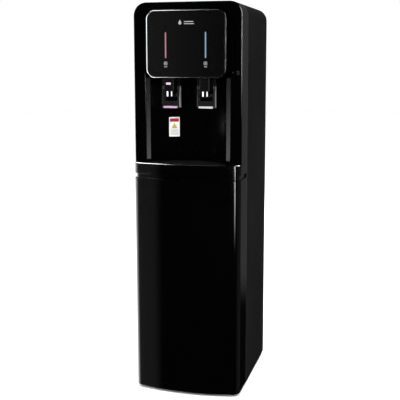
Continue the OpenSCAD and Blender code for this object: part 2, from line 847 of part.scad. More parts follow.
module inlet_valve() color("#e6e6e6") translate([inlet_x, 0, inlet_z]) {
    box([-valve_w / 2, valve_y[0], -valve_h / 2], [valve_w / 2, valve_y[1], valve_h / 2]);
    rod_z(0, (valve_y[0] + valve_y[1]) / 2, 11, valve_h / 2 - e, 38);
}

module pipes() {
    color("#f2f2f2") {
        pipe([[inlet_x, valve_y[0], inlet_z], [inlet_x, feed_y, inlet_z], [inlet_x, feed_y, feed_z],
            [inlet_x, post_y[0], feed_z]], hose_r);
        pipe([[112, -100, manifold_z[1]], [112, -100, 604], [112, hose_y, 604], [112, hose_y, 770],
            [106, hose_y, 770], [106, foam_y[0], 770]], hose_r);
        pipe([[tap_x, foam_y[0], 800], [tap_x, hose_y, 800], [tap_x, hose_y, shank_z],
            [tap_x, shank_end, shank_z]], hose_r);
        pipe([[hot_x, 20, hot_top], [hot_x, 20, 650], [hot_x, hose_y, 650], [-tap_x, hose_y, 650],
            [-tap_x, hose_y, shank_z], [-tap_x, shank_end, shank_z]], hose_r);
    }
    color("#b87333") {
        pipe([[pump_x + pump_r + 22, pump_y, 120], [cond_x, pump_y, 120], [cond_x, cond_y, 120],
            [cond_x, cond_y, cond_z0 - cond_r]], cond_r);
        pipe([[-cond_x, cond_y, cond_end_z + cond_r], [-cond_x, cond_y, drier_z[0]]], cond_r);
        pipe([[-cond_x, cond_y, drier_z[1]], [-cond_x, cond_y, 820], [-cond_x, foam_y[1], 820]],
            capillary_r);
        pipe([[suction_x, foam_y[1], 760], [suction_x, suction_y, 760], [suction_x, suction_y, 140],
            [suction_x, pump_y, 140], [pump_x - pump_r, pump_y, 140]], suction_r);
    }
}

module power_board() color("#1d6b3a") {
    y = 60;
    box([40, y, lower_shelf_z + 1.5], [140, y + 1.6, lower_shelf_z + 110]);
    box([48, y - 26, lower_shelf_z + 12], [84, y + 1, lower_shelf_z + 42]);
    for (x = [98, 114, 130]) rod_y(x, lower_shelf_z + 30, 6, y - 18, y + 1);
    for (x = [52, 76, 100]) box([x, y - 15, lower_shelf_z + 66], [x + 18, y + 1, lower_shelf_z + 88]);
}

// ---- rear ----

module at_switch(i) translate([switch_x - i * switch_gap, rear_sheet_y - 3, switch_z]) children();

module rocker(i, c) color(c) at_switch(i) rotate([-switch_tilt, 0, 0]) difference() {
    translate([0.8 - switch_w / 2, 0, 0]) rotate([90, 0, 90]) linear_extrude(switch_w - 1.6)
        polygon([[-3, -4], [1, -9], [3.6, -9], [2.2, 0], [3.6, 9], [1, 9], [-3, 4]]);
    rod_x(0, 0, switch_axle_r + 0.2, -switch_w, switch_w);
}

module switch_frames() color("#0f0f0f") for (i = [0, 1]) at_switch(i) {
    difference() {
        union() {
            box([-switch_w / 2, -12, -switch_h / 2], [switch_w / 2, 5, switch_h / 2]);
            box([-switch_w / 2 - switch_bezel, 3 + sheet, -switch_h / 2 - switch_bezel],
                [switch_w / 2 + switch_bezel, 5.3, switch_h / 2 + switch_bezel]);
        }
        box([0.5 - switch_w / 2, -9, 0.8 - switch_h / 2], [switch_w / 2 - 0.5, 6, switch_h / 2 - 0.8]);
    }
    rod_x(0, 0, switch_axle_r, 0.3 - switch_w / 2, switch_w / 2 - 0.3);
}

// A turned fitting in the rear panel: a body of radius r with a collar behind the sheet
module fitting(x, z, r, inner) {
    rod_y(x, z, r, inner, y_rear - 0.5);
    rod_y(x, z, r + 2.5, rear_sheet_y - 4, rear_sheet_y);
}

module water_inlet() color("white") difference() {
    fitting(inlet_x, inlet_z, fitting_r, valve_y[1]);
    rod_y(inlet_x, inlet_z, inlet_r, valve_y[1] + 6, y_rear);
}

module cord_gland() color("#1a1a1a") difference() {
    fitting(gland_x, gland_z, gland_r, rear_sheet_y - 10);
    rod_y(gland_x, gland_z, cord_r, rear_sheet_y - 11, y_rear);
}

module drain_plug() color("#3355aa") fitting(drain_x, drain_z, fitting_r, rear_sheet_y - 14);

// ---- one line for each sub-part ----

base_plate();
feet();
foot_bolts();
mirror([1, 0, 0]) side_panel();  // side_panel_left
side_panel();  // side_panel_right
rear_panel();
rear_panel_screws();
top_cover();
front_frame();
niche_panel();
head_housing();
head_trim_ring();
control_glass();
light_bar(-1, "#e0507a");  // light_bar_hot
light_bar(1, "#5aa0e0");  // light_bar_cold
control_board();
tray_housing();
drip_tray();
tray_grille();
lower_door();
card_label();
hot_tap_body();
at_tap(1) tap_body();  // cold_tap_body
tap_nuts();
at_tap(-1) nozzle();  // hot_nozzle
at_tap(1) nozzle();  // cold_nozzle
at_tap(-1) lever("#7a7a7d");  // hot_lever
at_tap(1) lever("#7a7a7d");  // cold_lever
at_tap(-1) lever_pin();  // hot_lever_pin
at_tap(1) lever_pin();  // cold_lever_pin
at_tap(-1) plunger();  // hot_plunger
at_tap(1) plunger();  // cold_plunger
at_tap(-1) valve_spring();  // hot_spring
at_tap(1) valve_spring();  // cold_spring
child_lock_button();
chassis_frame();
shelf(lower_shelf_z);  // lower_shelf
shelf(upper_shelf_z);  // upper_shelf
compressor();
compressor_mounts();
condenser_coil();
filter_drier();
cold_tank();
tank_insulation();
evaporator_coil();
hot_tank();
thermostat();
filter_manifold();
filter_cartridge(-1, "white");  // sediment_filter
filter_cartridge(0, "#dfe6ea");  // carbon_filter
filter_cartridge(1, "#cfd8dc");  // membrane_filter
inlet_valve();
pipes();
power_board();
rocker(0, "#b01818");  // hot_switch
rocker(1, "#1e8a3c");  // cold_switch
switch_frames();
water_inlet();
cord_gland();
drain_plug();
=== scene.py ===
import json
import math

import bmesh
import bpy
from mathutils import Matrix, Vector
from mathutils.geometry import tessellate_polygon


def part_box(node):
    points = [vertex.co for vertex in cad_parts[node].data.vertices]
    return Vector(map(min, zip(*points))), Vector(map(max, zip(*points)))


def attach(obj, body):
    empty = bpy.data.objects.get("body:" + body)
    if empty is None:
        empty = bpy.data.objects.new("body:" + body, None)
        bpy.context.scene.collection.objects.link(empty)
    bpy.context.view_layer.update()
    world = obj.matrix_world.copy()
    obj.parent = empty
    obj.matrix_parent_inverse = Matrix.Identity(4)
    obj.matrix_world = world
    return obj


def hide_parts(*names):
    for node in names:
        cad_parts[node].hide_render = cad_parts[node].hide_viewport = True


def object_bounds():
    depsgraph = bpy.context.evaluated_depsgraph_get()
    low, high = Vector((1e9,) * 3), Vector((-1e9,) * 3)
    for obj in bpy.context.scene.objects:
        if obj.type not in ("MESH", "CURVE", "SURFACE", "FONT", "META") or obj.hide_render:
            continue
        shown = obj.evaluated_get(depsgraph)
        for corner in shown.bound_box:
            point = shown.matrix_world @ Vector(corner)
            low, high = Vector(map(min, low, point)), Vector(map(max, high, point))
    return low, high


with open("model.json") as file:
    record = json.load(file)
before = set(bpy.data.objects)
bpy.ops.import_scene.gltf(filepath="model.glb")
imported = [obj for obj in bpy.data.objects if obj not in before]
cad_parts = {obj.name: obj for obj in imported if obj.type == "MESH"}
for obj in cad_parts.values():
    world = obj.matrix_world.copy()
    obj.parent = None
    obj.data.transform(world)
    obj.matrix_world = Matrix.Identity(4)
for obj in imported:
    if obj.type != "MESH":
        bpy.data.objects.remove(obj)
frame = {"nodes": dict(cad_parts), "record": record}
CAD_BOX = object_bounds()
NODES = frame["nodes"]
MM = 0.001

# ---- sizes: boxes read from the frame, and the curves between them ----

half_w = CAD_BOX[1].x
y_front = CAD_BOX[0].y
top_z = CAD_BOX[1].z
frame_lo, frame_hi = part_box("front_frame")
door_lo, door_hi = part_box("lower_door")
head_lo, head_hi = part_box("head_trim_ring")
niche_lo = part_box("niche_panel")[0]
lens_lo, lens_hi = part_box("drip_tray")
label_lo, label_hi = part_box("card_label")
button_lo, button_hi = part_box("child_lock_button")
y_frame = frame_lo.y
y_wrap = frame_hi.y
deck_z = frame_lo.z - 0.4 * MM
wall = 3 * MM
top_r = 36 * MM
bow_r = 553 * MM
bow_cy = y_front + bow_r
corner_r = 18 * MM
corner_cx = half_w - corner_r
corner_cy = bow_cy - math.sqrt((bow_r - corner_r) ** 2 - corner_cx ** 2)
niche_half = 119 * MM
niche_depth = 78 * MM
reach = niche_depth - wall
niche_r = (niche_half ** 2 + reach ** 2) / (2 * reach)
niche_cy = y_frame + niche_depth - niche_r
niche_top = head_lo.z
head_half = head_hi.x
head_top = head_hi.z
head_cz = (niche_top + head_top) / 2
head_r = 24 * MM
head_gap = 5 * MM
opening_r = 27 * MM
opening_depth = 12 * MM
lens_front, lens_back = 9 * MM, 14 * MM
y_rim = head_lo.y
y_head = head_hi.y - 2 * MM


# ---- outlines ----

def arc(cx, cy, r, a0, a1, n):
    """n + 1 points round a centre, from a0 to a1 degrees."""
    return [(cx + r * math.cos(math.radians(a0 + (a1 - a0) * i / n)),
             cy + r * math.sin(math.radians(a0 + (a1 - a0) * i / n))) for i in range(n + 1)]


def rounded(points, radii, n=5):
    """A closed outline with each corner rounded by its radius."""
    out = []
    count = len(points)
    for i, (p, r) in enumerate(zip(points, radii)):
        p = Vector(p)
        a = (Vector(points[i - 1]) - p).normalized()
        b = (Vector(points[(i + 1) % count]) - p).normalized()
        if r <= 0:
            out.append(tuple(p))
            continue
        half = a.angle(b) / 2
        cut = r / math.tan(half)
        centre = p + (a + b).normalized() * (r / math.sin(half))
        start, end = p + a * cut - centre, p + b * cut - centre
        turn = start.angle_signed(end)
        for k in range(n + 1):
            t = -turn * k / n
            x = start.x * math.cos(t) - start.y * math.sin(t)
            y = start.x * math.sin(t) + start.y * math.cos(t)
            out.append((centre.x + x, centre.y + y))
    return out


def round_rect(w, h, r, cx=0.0, cy=0.0, n=10):
    """Rounded rectangle, anticlockwise."""
    out = []
    for k, (sx, sy) in enumerate(((1, 1), (-1, 1), (-1, -1), (1, -1))):
        out += arc(cx + sx * (w / 2 - r), cy + sy * (h / 2 - r), r, 90 * k, 90 * k + 90, n)
    return out


def arch(inset, z0, n=14):
    """The arch of the front frame in X and Z, up the left side and down the right."""
    half, top, r = half_w - inset, top_z - inset, top_r - inset
    return ([(-half, z0)] + arc(r - half, top - r, r, 180, 90, n)
            + arc(half - r, top - r, r, 90, 0, n) + [(half, z0)])


def opening(grow, z0, n=14):
    """The opening of the front frame, with as many points as the arch."""
    half, top, r = niche_half + grow, head_top + head_gap + grow, opening_r + grow
    return ([(-half, z0)] + arc(r - half, top - r, r, 180, 90, n)
            + arc(half - r, top - r, r, 90, 0, n) + [(half, z0)])


def bow(inset, y_back, n=48):
    """The bowed lower front from above, from the left end round the front to the right end."""
    half, big, small = half_w - inset, bow_r - inset, corner_r - inset
    touch = math.degrees(math.atan2(corner_cy - bow_cy, -corner_cx)) % 360
    left = arc(-corner_cx, corner_cy, small, 180, touch, 10)
    front = arc(0, bow_cy, big, touch, 540 - touch, n)
    right = arc(corner_cx, corner_cy, small, 540 - touch, 360, 10)
    return [(-half, y_back)] + left + front[1:-1] + right + [(half, y_back)]


def lens(inset, n=36):
    """The lens-shaped plan of the drip tray: the bow's arc in front and the niche's arc behind."""
    big, small = bow_r - lens_front - inset, niche_r - lens_back - inset
    gap = bow_cy - niche_cy
    reach = (small ** 2 - big ** 2 + gap ** 2) / (2 * gap)
    half = math.sqrt(small ** 2 - reach ** 2)
    a_big = math.degrees(math.atan2(reach - gap, -half)) % 360
    a_small = math.degrees(math.atan2(reach, half))
    return arc(0, bow_cy, big, a_big, 540 - a_big, n) + arc(0, niche_cy, small, a_small, 180 - a_small, n)


# ---- mesh building ----

SHARP = math.radians(32)


def new_object(name, bm, smooth=True):
    """A mesh object with merged points, and edges steeper than SHARP marked sharp."""
    bmesh.ops.remove_doubles(bm, verts=bm.verts, dist=1e-6)
    bmesh.ops.dissolve_degenerate(bm, edges=bm.edges, dist=1e-7)
    bmesh.ops.recalc_face_normals(bm, faces=bm.faces)
    for e in bm.edges:
        e.smooth = len(e.link_faces) != 2 or e.calc_face_angle() < SHARP
    mesh = bpy.data.meshes.new(name)
    bm.to_mesh(mesh)
    bm.free()
    for p in mesh.polygons:
        p.use_smooth = smooth
    obj = bpy.data.objects.new(name, mesh)
    bpy.context.scene.collection.objects.link(obj)
    return obj


def soften(obj, width, segments=3):
    """Rounded edges with even shading on the flats."""
    if width:
        mod = obj.modifiers.new("edge", "BEVEL")
        mod.width = width
        mod.segments = segments
        mod.limit_method = "ANGLE"
        mod.angle_limit = SHARP
        mod.harden_normals = False
        mod.miter_outer = "MITER_ARC"
    mod = obj.modifiers.new("normals", "WEIGHTED_NORMAL")
    mod.weight = 80
    mod.keep_sharp = True


def loft(bm, rings, closed_path=False):
    """Skins rings of equal length; each ring is a closed loop."""
    rows = [[bm.verts.new(p) for p in ring] for ring in rings]
    count = len(rows[0])
    for i in range(len(rows) if closed_path else len(rows) - 1):
        a, b = rows[i], rows[(i + 1) % len(rows)]
        for j in range(count):
            k = (j + 1) % count
            bm.faces.new((a[j], a[k], b[k], b[j]))
    if not closed_path:
        bm.faces.new(rows[0][::-1])
        bm.faces.new(rows[-1])
    return rows


def along_arch(rails, ys):
    """Turns rails in X and Z, each with its y, into rings across them."""
    return [[(rail[i][0], y, rail[i][1]) for rail, y in zip(rails, ys)] for i in range(len(rails[0]))]


def prism(bm, outline, place, lo, hi):
    """An outline made solid between lo and hi. place(u, v, w) gives a point."""
    loft(bm, [[place(u, v, w) for u, v in outline] for w in (lo, hi)])


def plate(bm, outline, holes, place, lo, hi):
    """A flat plate with holes."""
    loops = [outline] + holes
    flat = [p for loop in loops for p in loop]
    tris = tessellate_polygon([[Vector((u, v, 0)) for u, v in loop] for loop in loops])
    low = [bm.verts.new(place(u, v, lo)) for u, v in flat]
    high = [bm.verts.new(place(u, v, hi)) for u, v in flat]
    for a, b, c in tris:
        bm.faces.new((low[a], low[b], low[c]))
        bm.faces.new((high[c], high[b], high[a]))
    start = 0
    for loop in loops:
        n = len(loop)
        for i in range(n):
            a, b = start + i, start + (i + 1) % n
            bm.faces.new((low[a], low[b], high[b], high[a]))
        start += n


def brick(bm, lo, hi):
    """A box between two corners."""
    size = [b - a for a, b in zip(lo, hi)]
    mid = [(a + b) / 2 for a, b in zip(lo, hi)]
    bmesh.ops.create_cube(bm, size=1.0, matrix=Matrix.Translation(mid) @ Matrix.Diagonal((*size, 1.0)))


def turned(bm, profile, place, n=40):
    """A turned solid from (radius, height) points. place(x, y, h) gives a point."""
    rows = []
    for r, h in profile:
        if r < 1e-9:
            rows.append([bm.verts.new(place(0, 0, h))])
        else:
            ring = arc(0, 0, r, 0, 360, n)[:-1]
            rows.append([bm.verts.new(place(x, y, h)) for x, y in ring])
    for a, b in zip(rows, rows[1:]):
        for i in range(n):
            k = (i + 1) % n
            quad = [a[i % len(a)], a[k % len(a)], b[k % len(b)], b[i % len(b)]]
            face = list(dict.fromkeys(quad))
            if len(face) > 2:
                bm.faces.new(face)
    for row in (rows[0], rows[-1]):
        if len(row) > 1:
            bm.faces.new(row)


def xz(u, v, w):
    """An outline in X and Z, made solid along Y."""
    return (u, w, v)


def xy(u, v, w):
    """An outline in X and Y, made solid along Z."""
    return (u, v, w)


def yz(u, v, w):
    """An outline in Y and Z, made solid along X."""
    return (w, u, v)


def piece(name, bm, material, body, nodes=(), width=0.5 * MM, segments=3):
    """A finished piece that rides on a body and stands for the CAD nodes it names."""
    obj = new_object(name, bm)
    obj.data.materials.append(material)
    soften(obj, width, segments)
    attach(obj, body)
    if nodes:
        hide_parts(*nodes)
    return obj


# ---- materials ----

class Nodes:
    """A short way to write a material's node tree."""

    def __init__(self, name):
        self.mat = bpy.data.materials.new(name)
        self.mat.use_nodes = True
        self.tree = self.mat.node_tree
        self.shader = self.tree.nodes["Principled BSDF"]
        coords = self.tree.nodes.new("ShaderNodeTexCoord")
        self.place = coords.outputs["Object"]

    def link(self, a, b):
        self.tree.links.new(a, b)

    def scaled(self, scale):
        m = self.tree.nodes.new("ShaderNodeMapping")
        m.inputs["Scale"].default_value = scale
        self.link(self.place, m.inputs["Vector"])
        return m.outputs["Vector"]

    def noise(self, scale, detail=3.0, rough=0.55, vector=None):
        t = self.tree.nodes.new("ShaderNodeTexNoise")
        t.inputs["Scale"].default_value = scale
        t.inputs["Detail"].default_value = detail
        t.inputs["Roughness"].default_value = rough
        self.link(vector or self.place, t.inputs["Vector"])
        return t.outputs["Fac"]

    def voronoi(self, scale):
        t = self.tree.nodes.new("ShaderNodeTexVoronoi")
        t.inputs["Scale"].default_value = scale
        self.link(self.place, t.inputs["Vector"])
        return t.outputs["Distance"]

    def span(self, value, lo, hi, from_lo=0.3, from_hi=0.7):
        m = self.tree.nodes.new("ShaderNodeMapRange")
        m.inputs["From Min"].default_value = from_lo
        m.inputs["From Max"].default_value = from_hi
        m.inputs["To Min"].default_value = lo
        m.inputs["To Max"].default_value = hi
        self.link(value, m.inputs["Value"])
        return m.outputs["Result"]

    def math(self, op, a, b=0.0):
        m = self.tree.nodes.new("ShaderNodeMath")
        m.operation = op
        for k, v in enumerate((a, b)):
            if isinstance(v, (int, float)):
                m.inputs[k].default_value = v
            else:
                self.link(v, m.inputs[k])
        return m.outputs[0]

    def axis(self, k):
        s = self.tree.nodes.new("ShaderNodeSeparateXYZ")
        self.link(self.place, s.inputs[0])
        return s.outputs[k]

    def mix(self, fac, a, b):
        m = self.tree.nodes.new("ShaderNodeMix")
        m.data_type = "RGBA"
        self.link(fac, m.inputs[0])
        for sock, v in ((m.inputs[6], a), (m.inputs[7], b)):
            if isinstance(v, tuple):
                sock.default_value = (*v, 1)
            else:
                self.link(v, sock)
        return m.outputs[2]

    def bump(self, height, strength, distance):
        b = self.tree.nodes.new("ShaderNodeBump")
        b.inputs["Strength"].default_value = strength
        b.inputs["Distance"].default_value = distance
        self.link(height, b.inputs["Height"])
        self.link(b.outputs["Normal"], self.shader.inputs["Normal"])

    def colour(self, value):
        self.link(value, self.shader.inputs["Base Color"])

    def rough(self, value):
        self.link(value, self.shader.inputs["Roughness"])

    def set(self, **values):
        for k, v in values.items():
            self.shader.inputs[k.replace("_", " ")].default_value = v
        return self


def gloss(name, colour, rough=0.08, ior=1.45, smudge=0.05, grain=420.0, wave=0.012):
    """Moulded gloss plastic: faint orange peel, smudges and dust specks."""
    m = Nodes(name)
    smears = m.noise(9.0, 4.0, 0.6, m.scaled((1.0, 1.0, 0.35)))
    m.rough(m.span(smears, rough, rough + smudge, 0.42, 0.72))
    dust = m.span(m.voronoi(grain), 1.0, 0.0, 0.0, 0.09)
    veil = m.math("MULTIPLY", dust, m.span(m.noise(14.0, 3.0), 0.0, 0.5, 0.55, 0.75))
    pale = tuple(min(1.0, c * 1.6 + 0.005) for c in colour)
    m.colour(m.mix(veil, colour, pale))
    m.bump(m.noise(130.0, 1.0, 0.4), wave, 0.0006)
    return m.set(IOR=ior).mat


def powder(name, colour, rough=0.5, grain=1500.0, depth=0.22, ior=1.4):
    """Fine textured powder coat on sheet steel."""
    m = Nodes(name)
    fine = m.noise(grain, 2.0, 0.6)
    broad = m.noise(5.0, 3.0, 0.55)
    light = tuple(c * 1.25 for c in colour)
    m.colour(m.mix(m.span(broad, 0.0, 1.0, 0.35, 0.65), colour, light))
    m.rough(m.span(fine, rough - 0.07, rough + 0.09, 0.35, 0.65))
    m.bump(fine, depth, 0.0002)
    return m.set(IOR=ior).mat


def metal(name, colour, rough=0.25, stretch=(1.0, 1.0, 12.0), grain=260.0, depth=0.05):
    """Plated or drawn metal with a directional grain."""
    m = Nodes(name)
    lines = m.noise(grain, 3.0, 0.6, m.scaled(stretch))
    dark = tuple(c * 0.82 for c in colour)
    m.colour(m.mix(m.span(m.noise(22.0, 4.0), 0.0, 1.0, 0.35, 0.7), colour, dark))
    m.rough(m.span(lines, rough - 0.05, rough + 0.1))
    m.bump(lines, depth, 0.0001)
    return m.set(Metallic=1.0).mat


def plain(name, colour, rough=0.45, grain=600.0, depth=0.12, ior=1.45):
    """Moulded plastic or rubber with a fine texture."""
    m = Nodes(name)
    fine = m.noise(grain, 3.0, 0.6)
    soil = m.noise(30.0, 5.0, 0.6)
    dark = tuple(c * 0.78 for c in colour)
    m.colour(m.mix(m.span(soil, 0.0, 1.0, 0.4, 0.75), colour, dark))
    m.rough(m.span(fine, rough - 0.06, rough + 0.08))
    m.bump(fine, depth, 0.0002)
    return m.set(IOR=ior).mat


def lit(name, colour, glow):
    """A light pipe lit from behind, with a faintly cloudy colour."""
    m = Nodes(name)
    cloud = m.noise(60.0, 2.0)
    dim = tuple(c * 0.06 for c in colour)
    m.colour(m.mix(m.span(cloud, 0.0, 1.0), dim, tuple(c * 1.3 for c in dim)))
    m.rough(m.span(cloud, 0.2, 0.3))
    m.bump(m.noise(900.0), 0.03, 0.0001)
    m.shader.inputs["Emission Color"].default_value = (*colour, 1)
    m.shader.inputs["Emission Strength"].default_value = glow
    return m.mat


BLACK = (0.0003, 0.0003, 0.0003)
# maker, slot, colour and roughness, then the maker's other values in order; a lit one has its glow
FINISHES = (
    (gloss, "black_gloss", BLACK, 0.06, 1.45, 0.05),
    (gloss, "niche_gloss", (0.0006, 0.0006, 0.0006), 0.26, 1.35, 0.05),
    (gloss, "black_glass", (0.0012, 0.0012, 0.0013), 0.05, 1.45, 0.03, 420.0, 0.002),
    (powder, "side_steel", (0.0085, 0.0085, 0.0085), 0.5),
    (powder, "rear_steel", (0.02, 0.02, 0.0205), 0.55),
    (metal, "trim_silver", (0.72, 0.73, 0.75), 0.12, (1.0, 1.0, 1.0), 900.0, 0.01),
    (lit, "light_red", (0.62, 0.27, 0.34), 0.62),
    (lit, "light_blue", (0.29, 0.45, 0.6), 0.66),
    (metal, "zinc_steel", (0.5, 0.51, 0.52), 0.38, (1.0, 1.0, 8.0), 120.0, 0.05),
    (metal, "screw_steel", (0.6, 0.6, 0.6), 0.28, (1.0, 1.0, 1.0), 800.0, 0.05),
    (plain, "rubber_black", (0.012, 0.012, 0.012), 0.75, 700.0, 0.25),
    (gloss, "tap_black", (0.0025, 0.0025, 0.0027), 0.09, 1.45, 0.06),
    (metal, "nozzle_chrome", (0.62, 0.62, 0.64), 0.08, (1.0, 1.0, 1.0), 700.0, 0.01),
    (gloss, "lever_smoke", (0.007, 0.007, 0.0075), 0.12, 1.5, 0.06),
    (gloss, "lock_pink", (0.4, 0.3, 0.36), 0.25, 1.45, 0.04),
    (metal, "brass_plain", (0.7, 0.52, 0.28), 0.3),
    (plain, "white_plastic", (0.78, 0.78, 0.76), 0.42),
    (plain, "blue_plastic", (0.12, 0.22, 0.55), 0.4),
    (gloss, "tray_black", (0.003, 0.003, 0.003), 0.12, 1.5, 0.08),
    (gloss, "grille_black", (0.005, 0.005, 0.005), 0.16, 1.5, 0.08),
    (plain, "board_green", (0.02, 0.16, 0.07), 0.35),
    (powder, "compressor_black", (0.012, 0.012, 0.012), 0.35, 900.0, 0.1),
    (powder, "condenser_black", (0.012, 0.012, 0.012), 0.38, 1100.0, 0.15),
    (metal, "copper", (0.72, 0.38, 0.24), 0.3),
    (metal, "stainless", (0.6, 0.6, 0.6), 0.25, (1.0, 1.0, 14.0), 300.0, 0.06),
    (plain, "foam_white", (0.8, 0.79, 0.75), 0.85, 300.0, 0.5),
    (plain, "filter_white", (0.8, 0.81, 0.82), 0.35),
    (plain, "pipe_white", (0.78, 0.78, 0.78), 0.35),
    (gloss, "switch_red", (0.45, 0.02, 0.02), 0.2, 1.45, 0.06),
    (gloss, "switch_green", (0.03, 0.28, 0.07), 0.2, 1.45, 0.06),
    (plain, "fitting_black", (0.02, 0.02, 0.02), 0.45),
    (plain, "print_grey", (0.2, 0.2, 0.2), 0.4),
    (plain, "print_dim", (0.05, 0.05, 0.05), 0.4),
    (gloss, "lip_pink", (0.31, 0.2, 0.29), 0.2, 1.5, 0.05),
    # painted highlight: a lighter grey for the side faces of the lever arms
    (gloss, "lever_edge", (0.22, 0.22, 0.22), 0.2, 1.5, 0.06),
    # painted highlight: a lighter grey for the strips on the side panels' edges
    (powder, "painted_highlight_edge", (0.034, 0.034, 0.034), 0.45),
    (gloss, "lip_white", (0.32, 0.32, 0.32), 0.2, 1.5, 0.05),
)
MATS = {name: make(name, *values) for make, name, *values in FINISHES}


def label_material():
    """A plain card: a red band over a pale field with an amber triangle and grey rules."""
    m = Nodes("label_card")
    cx = (label_lo.x + label_hi.x) / 2
    half = (label_hi.x - label_lo.x) / 2
    x = m.math("DIVIDE", m.math("SUBTRACT", m.axis(0), cx), half)
    z = m.math("DIVIDE", m.math("SUBTRACT", m.axis(2), label_lo.z), label_hi.z - label_lo.z)
    side = m.math("ABSOLUTE", x)
    # shares of the card's height, and of its half width
    band_z, band_half = (0.76, 0.93), 0.86
    tri_foot, tri_top, tri_slope = 0.42, 0.71, 0.5
    rule_z, rule_half, rule_count = (0.08, 0.38), 0.78, 22.0
    band = m.math("MULTIPLY", m.math("GREATER_THAN", z, band_z[0]), m.math("LESS_THAN", z, band_z[1]))
    band = m.math("MULTIPLY", band, m.math("LESS_THAN", side, band_half))
    slope = m.math("MULTIPLY", side, tri_slope)
    sides = m.math("LESS_THAN", z, m.math("SUBTRACT", tri_top, slope))
    tri = m.math("MULTIPLY", m.math("GREATER_THAN", z, tri_foot), sides)
    rule = m.math("LESS_THAN", m.math("FRACT", m.math("MULTIPLY", z, rule_count)), 0.45)
    rules = m.math("MULTIPLY", rule, m.math("LESS_THAN", z, rule_z[1]))
    rules = m.math("MULTIPLY", rules, m.math("GREATER_THAN", z, rule_z[0]))
    rules = m.math("MULTIPLY", rules, m.math("LESS_THAN", side, rule_half))
    card = m.mix(m.span(m.noise(500.0), 0.0, 1.0), (0.80, 0.80, 0.79), (0.74, 0.74, 0.73))
    card = m.mix(rules, card, (0.36, 0.36, 0.36))
    card = m.mix(tri, card, (0.46, 0.4, 0.06))
    m.colour(m.mix(band, card, (0.36, 0.012, 0.014)))
    m.rough(m.span(m.noise(300.0), 0.4, 0.55))
    m.bump(m.noise(900.0), 0.05, 0.0001)
    return m.mat


MATS["label_white"] = label_material()


def finish_cad(node):
    """A CAD node gets its slot's material and softly rounded edges."""
    slot = next(s["material_slot"] for s in frame["record"]["subparts"] if s["node"] == node)
    obj = NODES[node]
    for s in obj.material_slots:
        s.link = "OBJECT"
        s.material = MATS[slot]
    if not obj.material_slots:
        obj.data.materials.append(MATS[slot])
    weld = obj.modifiers.new("weld", "WELD")
    weld.merge_threshold = 0.01 * MM
    bevel = obj.modifiers.new("bevel", "BEVEL")
    bevel.width = 0.3 * MM
    bevel.segments = 2
    bevel.limit_method = "ANGLE"
    bevel.angle_limit = SHARP


# ---- lower door ----

def swept(bm, section, y_back):
    """A section of (inset, z) points carried round the bowed front."""
    rails = [bow(inset, y_back) for inset, _ in section]
    rings = [[(rail[i][0], rail[i][1], z) for rail, (_, z) in zip(rails, section)]
             for i in range(len(rails[0]))]
    loft(bm, rings)


bm = bmesh.new()
lip = 14 * MM
z0, z1 = door_lo.z, door_hi.z
swept(bm, rounded([(lip, z0), (0, z0), (0, z1), (lip, z1), (lip, z1 - wall), (wall, z1 - wall),
                   (wall, z0 + wall), (lip, z0 + wall)],
                  [0, 3 * MM, 1.5 * MM, 0, 0, 0, 0, 0]), y_wrap)
# four pins on pads inside the door's back edges
pin_r, pin_x = 3 * MM, 138 * MM
pin_zs = (80 * MM, 560 * MM)
pad_x, pad_half_h = (132 * MM, 151 * MM), 10 * MM
for s in (-1, 1):
    for z in pin_zs:
        a, b = sorted((s * pad_x[0], s * pad_x[1]))
        brick(bm, (a, y_wrap - wall, z - pad_half_h), (b, y_wrap - 0.2 * MM, z + pad_half_h))
        pin = [(0, y_wrap - 1 * MM), (pin_r, y_wrap - 1 * MM), (pin_r, door_hi.y - 1 * MM),
               (pin_r - 1 * MM, door_hi.y), (0, door_hi.y)]
        turned(bm, pin, lambda a, b, h, x=s * pin_x, z=z: (x + a, h, z + b), 24)
door_shell = piece("door_shell", bm, MATS["black_gloss"], "lower_door", ["lower_door"],
                   0.3 * MM)

# ---- tray housing ----

bm = bmesh.new()
groove_z0 = door_hi.z + 0.4 * MM
groove_z1 = door_hi.z + 12 * MM
groove_in = 5 * MM
deck_in = 6 * MM
section = rounded([(groove_in + wall, groove_z0), (groove_in, groove_z0), (groove_in, groove_z1),
                   (0, groove_z1), (0, deck_z), (deck_in, deck_z), (deck_in, deck_z - wall),
                   (groove_in + wall, deck_z - wall)],
                  [0, 0, 0.5 * MM, 1.2 * MM, 1.8 * MM, 0, 0, 0])
swept(bm, section, y_wrap)
rim = lens(-0.3 * MM)
plate(bm, bow(deck_in, y_wrap), [rim[::-1]], xy, deck_z - wall, deck_z)
tray_shell = piece("tray_housing_shell", bm, MATS["black_gloss"], "cabinet",
                   ["tray_housing"], 0.0)

bm = bmesh.new()
back_end, front_end = 36.5, 38.0
back = arc(0, niche_cy, niche_r - 0.4 * MM, 180 - back_end, back_end, 48)
front_arc = arc(0, niche_cy, niche_r - 13 * MM, front_end, 180 - front_end, 48)
ledge = back + front_arc
prism(bm, ledge, xy, deck_z - 0.5 * MM, deck_z + 8 * MM)
piece("tray_ledge", bm, MATS["black_gloss"], "cabinet", (), 1.2 * MM, 4)


def lens_dish(bm, section):
    """A dish on the lens-shaped plan, from (inset, z) points up its outside and down its inside."""
    loft(bm, [[(x, y, z) for x, y in lens(inset)] for inset, z in section])


bm = bmesh.new()
basin_z = deck_z - 22.5 * MM
lens_dish(bm, [(-2.5 * MM, basin_z), (-2.5 * MM, deck_z - wall), (-0.3 * MM, deck_z - wall),
               (-0.3 * MM, basin_z + 2.5 * MM)])
piece("tray_basin", bm, MATS["black_gloss"], "cabinet", (), 0.3 * MM)

# ---- drip tray and grille ----

